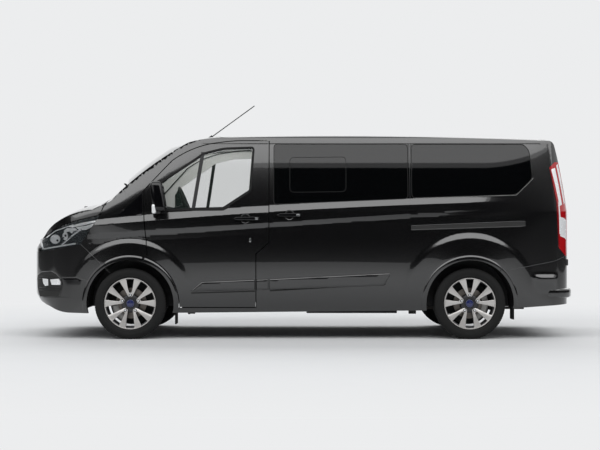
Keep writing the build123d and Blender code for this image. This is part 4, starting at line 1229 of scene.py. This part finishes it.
def rear_step():
    """The step along the rear bumper, bent round its corners."""
    ring = [(x, -y) for x, y in STEP_OUTER] + STEP_OUTER[-2::-1]
    ring += STEP_INNER + [(x, -y) for x, y in STEP_INNER[-2::-1]]
    mesh = bmesh.new()
    face = mesh.faces.new([mesh.verts.new((x * MM, y * MM, STEP_FOOT_Z * MM)) for x, y in ring])
    raised(mesh, face, (0, 0, STEP_HIGH * MM))
    bevelled(mesh, [e for e in mesh.edges if abs(e.verts[0].co.z - e.verts[1].co.z) < 1e-6], 22, 4)
    bmesh.ops.triangulate(mesh, faces=[f for f in mesh.faces if len(f.verts) > 4])
    return mesh


mesh_piece("rear_step", rear_step(), paint, "shell")
both_sides("tail_buffer", block((2588, -820, 743), (48, 42, 64), 10), grained_plastic)
print("bumper details laid")

# %% [markdown]
# ## Mirrors, wipers and washer jets
# A door mirror is a swollen shell with a rounded rim, so it starts as a block whose edges are
# bevelled wide, then its points are pushed in and out. Wiper arms are thin tubes on the glass.

# %% Mirrors
MIRROR_AT, MIRROR_SIZE = (-1385, -1040, 1384), (128, 188, 292)
# how far the shell's top leans forward, its front swells and its outer end reaches out
MIRROR_LEAN, MIRROR_FRONT, MIRROR_REACH = 44, 14, 16


def mirror_shell():
    """A door mirror: a rounded shell with the glass sunk into its back, on a foot."""
    mesh = block(MIRROR_AT, MIRROR_SIZE, 44, 5)
    back = max(mesh.faces, key=lambda f: f.normal.x * f.calc_area())
    bmesh.ops.inset_region(mesh, faces=[back], thickness=0.004, depth=0, use_even_offset=True)
    bmesh.ops.inset_region(mesh, faces=[back], thickness=0.003, depth=-0.012, use_even_offset=True)
    back.material_index = 1
    for vert in mesh.verts:
        x, y, z = (vert.co[i] / MM - MIRROR_AT[i] for i in range(3))
        rise = z / MIRROR_SIZE[2]
        front = smooth_step(40, -60, x)
        vert.co.x += (MIRROR_FRONT * front * rise - MIRROR_LEAN * rise) * MM
        vert.co.y += MIRROR_REACH * (rise + 0.5) * smooth_step(-20, -90, y) * MM
    return joined(mesh, block((-1404, -972, 1243), (86, 96, 62), 18), 0)


both_sides("mirror_shell", mirror_shell(), [gloss_plastic, chrome], "door_{}", "mirror_{}")
both_sides("mirror_indicator", block((-1418, -1086, 1262), (40, 90, 92), 16), silvered, "door_{}")


# %% Helpers for what lies on a surface
def tree_of(mesh):
    """A search tree of a bmesh, which is freed."""
    tree = BVHTree.FromBMesh(mesh)
    mesh.free()
    return tree


def from_ahead(tree, y, z):
    """The point, and the normal there, that a level line from ahead meets first."""
    return tree.ray_cast(Vector((-3, y, z)), AXES[0])[:2]


def tube(name, points, radius_mm, material, body):
    """A round bar through points, made a mesh."""
    curve = bpy.data.curves.new(name, "CURVE")
    curve.dimensions = "3D"
    curve.bevel_depth = radius_mm * MM
    curve.bevel_resolution = 3
    curve.use_fill_caps = True
    line = curve.splines.new("POLY")
    line.points.add(len(points) - 1)
    for spot, place in zip(line.points, points):
        spot.co = (*place, 1)
    passing = bpy.data.objects.new(name + "_line", curve)
    data = bpy.data.meshes.new_from_object(passing)
    bpy.data.objects.remove(passing)
    mesh = bmesh_of(data)
    bpy.data.meshes.remove(data)
    bmesh.ops.recalc_face_normals(mesh, faces=mesh.faces)
    return mesh_piece(name, mesh, material, body)


# %% Wipers and jets
BLADE_LIFT_MM, BLADE_POINTS = 9, 9
screen_tree = tree_of(bulged_screen())
for name, y_start, y_end in (("near", -0.68, -0.1), ("far", -0.02, 0.56)):
    blade = []
    for i in range(BLADE_POINTS):
        share = i / (BLADE_POINTS - 1)
        spot, normal = from_ahead(screen_tree, y_start + (y_end - y_start) * share, 1.5 + 0.02 * share)
        if spot:
            blade.append(spot + normal * (BLADE_LIFT_MM * MM))
    tube(f"wiper_blade_{name}", blade, 7, rubber, "shell")
    arm = [
        Vector((-1.83, y_end + 0.03, 1.455)), blade[-1] + Vector((-0.02, 0, 0.004)),
        blade[4] + Vector((-0.016, 0, 0.01)),
    ]
    tube(f"wiper_arm_{name}", arm, 8, grained_plastic, "shell")
bonnet_tree = tree_of(solid_copy("bonnet"))
for side, y in (("left", -0.28), ("right", 0.28)):
    spot = bonnet_tree.ray_cast(Vector((-2.2, y, 3)), -AXES[2])[0]
    mesh_piece(f"washer_jet_{side}", block(spot / MM, (34, 24, 16), 5), grained_plastic, "bonnet")

# %% Nose and number plates
PLATE_SIZE = (8, 520, 112)
BAR_Y = [-0.43 + 0.043 * k for k in range(21)]
for i, z in enumerate((742, 790, 838)):
    points = [Vector((-2.662 + 0.056 * y * y, y, z * MM)) for y in BAR_Y]
    tube(f"grille_bar_{i}", points, 7, chrome, "shell")
plate_white = finish("enamelled_white_plate", {"Roughness": 0.35}, 20, 0.03, "E2E2DE E9E9E5")
mesh_piece("front_plate", block((-2664, 0, 562), PLATE_SIZE, 3), plate_white, "shell")
nose_tree = tree_of(bmesh_of(bpy.data.objects["skin_front_bumper"].data))
intake = block((0, 0, 440), (4, 880, 100), 1.5)
sliced(intake, 1, 30)
sliced(intake, 2, 20)
for vert in intake.verts:
    vert.co.x += from_ahead(nose_tree, vert.co.y, vert.co.z)[0].x
mesh_piece("lower_intake", intake, gloss_plastic, "shell")
for i, z in enumerate((0.408, 0.44, 0.472)):
    points = [from_ahead(nose_tree, y, z)[0] for y in BAR_Y]
    tube(f"intake_bar_{i}", points, 6, grained_plastic, "shell")
gate_tree = tree_of(solid_copy("tailgate"))
gate_x = gate_tree.ray_cast(Vector((4, 0, 0.93)), -AXES[0])[0].x / MM
mesh_piece("rear_plate", block((gate_x + 2, 0, 930), PLATE_SIZE, 3), plate_white, "tailgate")
mesh_piece("rear_plate_lamp", block((gate_x + 10, 0, 1030), (34, 620, 46), 12), gloss_plastic, "tailgate")
print("nose and plates made")

# %% [markdown]
# ## Seats
# A seat pad is foam in a cloth cover, pulled tight so that its faces crown and its edges stay
# soft. A block is crowned first, with its corners pinched; then it is remeshed as an even cover
# and blown up slightly as cloth, which rounds it as foam does. One cushion, one back and one head
# rest are blown up, and each place takes a copy drawn out to its own width and height.


# %% Helpers for pads
def crowned(size, swell_mm):
    """A block with crowned faces and pinched corners, of x, y, z size in millimetres, at the origin."""
    mesh = bmesh.new()
    bmesh.ops.create_cube(mesh, size=1)
    bmesh.ops.subdivide_edges(mesh, edges=mesh.edges[:], cuts=7, use_grid_fill=True)
    for vert in mesh.verts:
        u, v, w = (abs(c) * 2 for c in vert.co)
        crown = Vector((
            (1 - v ** 2) * (1 - w ** 2) * (u > 0.99), (1 - u ** 2) * (1 - w ** 2) * (v > 0.99),
            (1 - u ** 2) * (1 - v ** 2) * (w > 0.99),
        ))
        pinch = 1 - 0.05 * (u ** 4 * v ** 4 + v ** 4 * w ** 4 + u ** 4 * w ** 4)
        sign = Vector([math.copysign(1, c) for c in vert.co])
        vert.co = Vector([vert.co[i] * (size[i] - 2 * swell_mm) * pinch for i in range(3)])
        vert.co += Vector([crown[i] * swell_mm * sign[i] for i in range(3)])
    mesh.transform(Matrix.Scale(MM, 4))
    return mesh


def settled_mesh(thing):
    """The mesh that an object's modifiers give now."""
    return bpy.data.meshes.new_from_object(thing.evaluated_get(bpy.context.evaluated_depsgraph_get()))


PRESSURE, SETTLE_FRAMES = 4, 20


def blown_up(mesh, cover_mm, cap_mm):
    """A pad's cover as an even mesh, swollen by cloth simulation. A point moves cap_mm at most."""
    cover = object_of("cover", mesh)
    even = cover.modifiers.new("even", "REMESH")
    even.mode, even.voxel_size = "VOXEL", cover_mm * MM
    cover.data = settled_mesh(cover)
    cover.modifiers.clear()
    before = [v.co.copy() for v in cover.data.vertices]
    cloth = cover.modifiers.new("cloth", "CLOTH")
    cloth.settings.use_pressure = True
    cloth.settings.uniform_pressure_force = PRESSURE
    cloth.settings.effector_weights.gravity = 0
    for frame_number in range(1, SETTLE_FRAMES + 1):
        bpy.context.scene.frame_set(frame_number)
    after = settled_mesh(cover)
    cover.modifiers.clear()
    bpy.context.scene.frame_set(1)
    for vert, start, moved in zip(cover.data.vertices, before, after.vertices):
        step = moved.co - start
        vert.co = start + step * min(1, cap_mm * MM / max(step.length, 1e-9))
    bpy.data.meshes.remove(after)
    result = cover.data
    bpy.data.objects.remove(cover)
    return result


# depth, width and height, and how far the faces swell beyond that
CUSHION, BACK, HEAD, SWELL_MM = (487, 477, 120), (96, 477, 360), (76, 242, 132), 8
pad_forms = {
    "seat_pad": (CUSHION, blown_up(crowned(CUSHION, 14), 17, 7)),
    "seat_back": (BACK, blown_up(crowned(BACK, 11), 15, 7)),
    "seat_head": (HEAD, blown_up(crowned(HEAD, 9), 10, 5)),
}


def pad(form, name, size, place, lean_deg=0):
    """A copy of a pad's form, drawn out to a size, leaned back and put at its place."""
    form_size, form_mesh = pad_forms[form]
    mesh = bmesh_of(form_mesh)
    bmesh.ops.scale(mesh, verts=mesh.verts, vec=[size[i] / (form_size[i] + SWELL_MM) for i in range(3)])
    turn = Matrix.Rotation(math.radians(lean_deg), 4, "Y")
    mesh.transform(Matrix.Translation([value * MM for value in place]) @ turn)
    mesh_piece(f"{form}_{name}", mesh, seat_cloth, "shell")


# %% Seat rows
SEAT_FLOOR_Z = 440
# heights above the seat's floor, and a back's lean from its foot to the row's top
PAD_Z, BACK_FOOT_Z, BACK_LEAN = 325, 300, 110
HEAD_ROOM = 150
# name, x of the cushion's front, y of the middle, width, places, top of the back
SEAT_UNITS = [
    ("driver", -1010, -470, 500, 1, 1225), ("front_bench", -1010, 330, 840, 2, 1225),
    ("second_row", 120, 0, 1480, 3, 1290), ("third_row", 1080, 0, 1200, 3, 1290),
]
seat_bases = bmesh.new()
for name, front_x, middle_y, width, places, top_z in SEAT_UNITS:
    joined(seat_bases, block((front_x + 240, middle_y, SEAT_FLOOR_Z + 131), (470, width - 130, 258), 14))
    share = width / places
    foot_z = SEAT_FLOOR_Z + BACK_FOOT_Z
    back_z, back_high = (foot_z + top_z - HEAD_ROOM) / 2, top_z - HEAD_ROOM - foot_z
    back_x = front_x + 500 + BACK_LEAN * (back_z - foot_z) / (top_z - foot_z)
    lean_deg = math.degrees(math.atan2(BACK_LEAN, top_z - foot_z))
    for i in range(places):
        y = middle_y - width / 2 + share * (i + 0.5)
        pad("seat_pad", f"{name}_{i}", (495, share - 8, 128), (front_x + 250, y, SEAT_FLOOR_Z + PAD_Z))
        pad("seat_back", f"{name}_{i}", (104, share - 10, back_high), (back_x, y, back_z), lean_deg)
        pad("seat_head", f"{name}_{i}", (84, 250, 140), (front_x + 612, y, top_z - 74), lean_deg)
mesh_piece("seat_bases", seat_bases, soft_trim, "shell", ["front_seats", "rear_seats"])
for node_name in ("steering_wheel", "dashboard"):
    nodes[node_name].data.materials[0] = soft_trim
print("seats padded")

# %% [markdown]
# ## Wheels
# A tyre is a turned shape: bead, sidewall, shoulder and a tread of blocks. A cast wheel is a turned
# barrel with spokes whose machined faces are bright while their sides stay dark. Here five pairs
# of spokes meet at the wheel nuts, and the brake disc and its calliper show between them.

# %% Helpers for turned pieces
WHEEL_Y = 865
AXLES = {"front": FLARES[0][0], "rear": FLARES[1][0]}


def from_axle(wheel_x, u=0, v=0):
    """A place in a left wheel's middle plane, in metres: u along the vehicle and v up from the axle."""
    return (wheel_x + u) * MM, -WHEEL_Y * MM, (WHEEL_Z + v) * MM


def turned(profile, wheel_x, steps, start=0, sweep=360):
    """Turns a closed profile of radius and side offset about a left wheel's axle."""
    mesh = bmesh.new()
    row = []
    for radius, off in profile:
        x, z = on_circle(wheel_x, WHEEL_Z, radius, radius, math.radians(start))
        row.append(mesh.verts.new((x * MM, (-WHEEL_Y + off) * MM, z * MM)))
    edges = [mesh.edges.new(pair) for pair in zip(row, row[1:] + row[:1])]
    whole = sweep == 360
    ends = [] if whole else [mesh.faces.new(row)]
    bmesh.ops.spin(
        mesh, geom=ends + row + edges, cent=from_axle(wheel_x), axis=(0, -1, 0),
        angle=math.radians(sweep), steps=steps, use_merge=whole,
    )
    bmesh.ops.remove_doubles(mesh, verts=mesh.verts, dist=JOIN_M)
    bmesh.ops.recalc_face_normals(mesh, faces=mesh.faces)
    return mesh


def wheel_radius(place, wheel_x):
    """Distance from the axle, in millimetres."""
    return math.hypot(place.x / MM - wheel_x, place.z / MM - WHEEL_Z)


# %% Tyres
# radius and side offset; the tread is a little low, because its blocks are raised after the spin
HALF_TYRE = [
    (240, 80), (252, 90), (259, 99), (262, 102), (272, 106), (276, 105), (290, 110), (305, 110.5), (320, 107),
    (331, 101), (337, 94), (341, 84), (341, 58), (335, 56), (335, 50), (341, 48), (341, 24), (335, 22),
    (335, 16), (341, 14),
]
TYRE_PROFILE = HALF_TYRE + [(radius, -off) for radius, off in reversed(HALF_TYRE)]
TYRE_STEPS, TREAD_RADIUS = 80, 335.5


def tyre(wheel_x):
    mesh = turned(TYRE_PROFILE, wheel_x, TYRE_STEPS)
    blocks = [f for f in mesh.faces if wheel_radius(f.calc_center_median(), wheel_x) > TREAD_RADIUS]
    bmesh.ops.inset_individual(mesh, faces=blocks, thickness=0.003, depth=0.0035, use_even_offset=True)
    return mesh


# %% Wheel castings
BARREL = [
    (250, -89), (248.5, -90), (243.5, -89), (241, -86), (233, -82), (229, -60), (227, 0), (233, 84), (250, 84),
    (250, 80), (238, 74), (236, 0), (238, -74), (250, -80),
]
# one pair of spokes, across and up from the axle, closed at the nut
SPOKE_PAIR = [
    (-112, 216), (-99, 207), (-62, 146), (-25, 76), (-14, 64), (14, 64), (25, 76), (62, 146), (99, 207),
    (112, 216), (70, 232), (40, 240), (36, 228), (24, 158), (13, 112), (7, 104), (-7, 104), (-13, 112),
    (-24, 158), (-36, 228), (-40, 240), (-70, 232),
]
HUB = [(0.01, -58), (40, -58), (46, -63), (70, -62), (84, -56), (90, -46), (90, -22), (0.01, -22)]
CAP = [(0.01, -74), (22, -73), (31, -70.5), (34, -67), (34, -58), (0.01, -58)]
CAP_RING = [(34, -68), (37.5, -67), (38.5, -64), (38.5, -58), (34, -58)]
SPOKE_DEEP, MACHINED_FACE = 20, -0.55
PAIRS, NUT_R = 5, 81
# a nut's seat, its hexagon and its tip: sides, radius, radius of the outer end, start, length and finish
NUT_PARTS = [(20, 15, 15, -70, 18, 1), (6, 11.5, 10, -76, 26, 2), (12, 7.5, 5, -81, 8, 2)]


# the spokes' face lies this far outside the wheel's middle, and its rim further: a shallow dish
DISH_MIDDLE, DISH_DEEP, DISH_REACH = 66, 20, (60, 235)
# the barrel is bright beyond this radius and this side offset
LIP_RADIUS, LIP_OFFSET = 240, 80


def face_offset(radius):
    return -(DISH_MIDDLE + DISH_DEEP * smooth_step(*DISH_REACH, radius))


def spokes(wheel_x):
    """One pair of spokes, bevelled and dished, then copied round the axle."""
    mesh = bmesh.new()
    face = mesh.faces.new([mesh.verts.new(from_axle(wheel_x, u, v)) for u, v in SPOKE_PAIR])
    front = raised(mesh, face, (0, -SPOKE_DEEP * MM, 0))
    bevelled(mesh, [e for e in mesh.edges if all(v in front for v in e.verts)], 2.5, 2)
    for vert in mesh.verts:
        depth = vert.co.y / MM + WHEEL_Y + SPOKE_DEEP
        vert.co.y = (-WHEEL_Y + face_offset(wheel_radius(vert.co, wheel_x)) + depth * 1.6) * MM
    bmesh.ops.spin(
        mesh, geom=mesh.verts[:] + mesh.edges[:] + mesh.faces[:], cent=from_axle(wheel_x), axis=(0, 1, 0),
        angle=math.radians(360 * (PAIRS - 1) / PAIRS), steps=PAIRS - 1, use_duplicate=True,
    )
    for face in mesh.faces:
        face.material_index = 0 if face.normal.y < MACHINED_FACE else 1
    return mesh


def add_nuts(mesh, wheel_x):
    """Adds a bright hexagon nut in a dark seat at the foot of each pair."""
    for i in range(PAIRS):
        x, z = on_circle(wheel_x, WHEEL_Z, NUT_R, NUT_R, math.radians(90 + 360 / PAIRS * i))
        for segments, radius, tip, start, length, material_index in NUT_PARTS:
            nut = bmesh.new()
            place = [value * MM for value in (x, -WHEEL_Y + start + length / 2, z)]
            bmesh.ops.create_cone(
                nut, cap_ends=True, segments=segments, radius1=radius * MM, radius2=tip * MM, depth=length * MM,
                matrix=Matrix.Translation(place) @ Matrix.Rotation(math.radians(90), 4, "X"),
            )
            joined(mesh, nut, material_index)


def casting(wheel_x):
    mesh = spokes(wheel_x)
    barrel = turned(BARREL, wheel_x, 72)
    for face in barrel.faces:
        middle = face.calc_center_median()
        lip = wheel_radius(middle, wheel_x) > LIP_RADIUS and middle.y / MM < -WHEEL_Y - LIP_OFFSET
        face.material_index = 0 if lip else 1
    joined(mesh, barrel)
    joined(mesh, turned(HUB, wheel_x, 48), 1)
    add_nuts(mesh, wheel_x)
    joined(mesh, turned(CAP, wheel_x, 40), 3)
    return joined(mesh, turned(CAP_RING, wheel_x, 40), 4)


# %% Brakes
DISC = [(92, 0), (150, 0), (150, 22), (92, 22)]
DISC_HAT = [(26, -18), (86, -18), (92, -12), (92, 22), (26, 22)]
SHIELD = [(30, 66), (60, 62), (204, 62), (206, 56), (209, 56), (209, 66), (30, 70)]
# radius and side offset of a calliper's section, which clasps the disc; then its first angle and its sweep
CALLIPER = [(128, -14), (166, -14), (184, -8), (190, 4), (190, 30), (180, 44), (128, 44)]
CALLIPER_ARC = {"front": (188, 62), "rear": (-60, 84)}


def brake_disc(wheel_x):
    return joined(turned(DISC, wheel_x, 60), turned(DISC_HAT, wheel_x, 48), 1)


def calliper(axle):
    mesh = turned(CALLIPER, AXLES[axle], 16, *CALLIPER_ARC[axle])
    bevelled(mesh, sharp_edges(mesh, 1.2), 4, 2)
    return mesh


# %% Four wheels
blue_cap = finish(
    "blue_enamelled_cap", {"Roughness": 0.2, "Coat Weight": 0.8, "Coat Roughness": 0.05},
    8, 0.02, "1C2456 232C62",
)
disc_steel = finish(
    "turned_cast_iron", {"Metallic": 0.9, "Roughness": 0.35}, 1.5, 0.08, "76706A 8A847E", (0.3, 0.45),
)
calliper_paint = finish(
    "silver_painted_iron", {"Metallic": 0.35, "Roughness": 0.4}, 4, 0.2, "B8B6B2 C8C6C2", (0.35, 0.5),
)
wheel_finishes = [bright_alloy, dark_alloy, chrome, blue_cap, cap_grey]
for axle, wheel_x in AXLES.items():
    for side in ("left", "right"):
        end = f"{axle}_{side}"
        carrier = f"knuckle_{side}" if axle == "front" else "shell"
        for name, mesh, finishes, body, replaced in (
            ("moulded_tyre", tyre(wheel_x), rubber, f"wheel_{end}", [f"tyre_{end}"]),
            ("cast_wheel", casting(wheel_x), wheel_finishes, f"wheel_{end}", [f"rim_{end}"]),
            ("brake_disc", brake_disc(wheel_x), [disc_steel, cast_iron], f"wheel_{end}", []),
            ("calliper", calliper(axle), calliper_paint, carrier, []),
            # a pressed plate that keeps road dirt off the disc
            ("dust_shield", turned(SHIELD, wheel_x, 48), underbody, carrier, []),
        ):
            mesh_piece(f"{name}_{end}", to_side(mesh, side), finishes, body, replaced)
print("four wheels made")
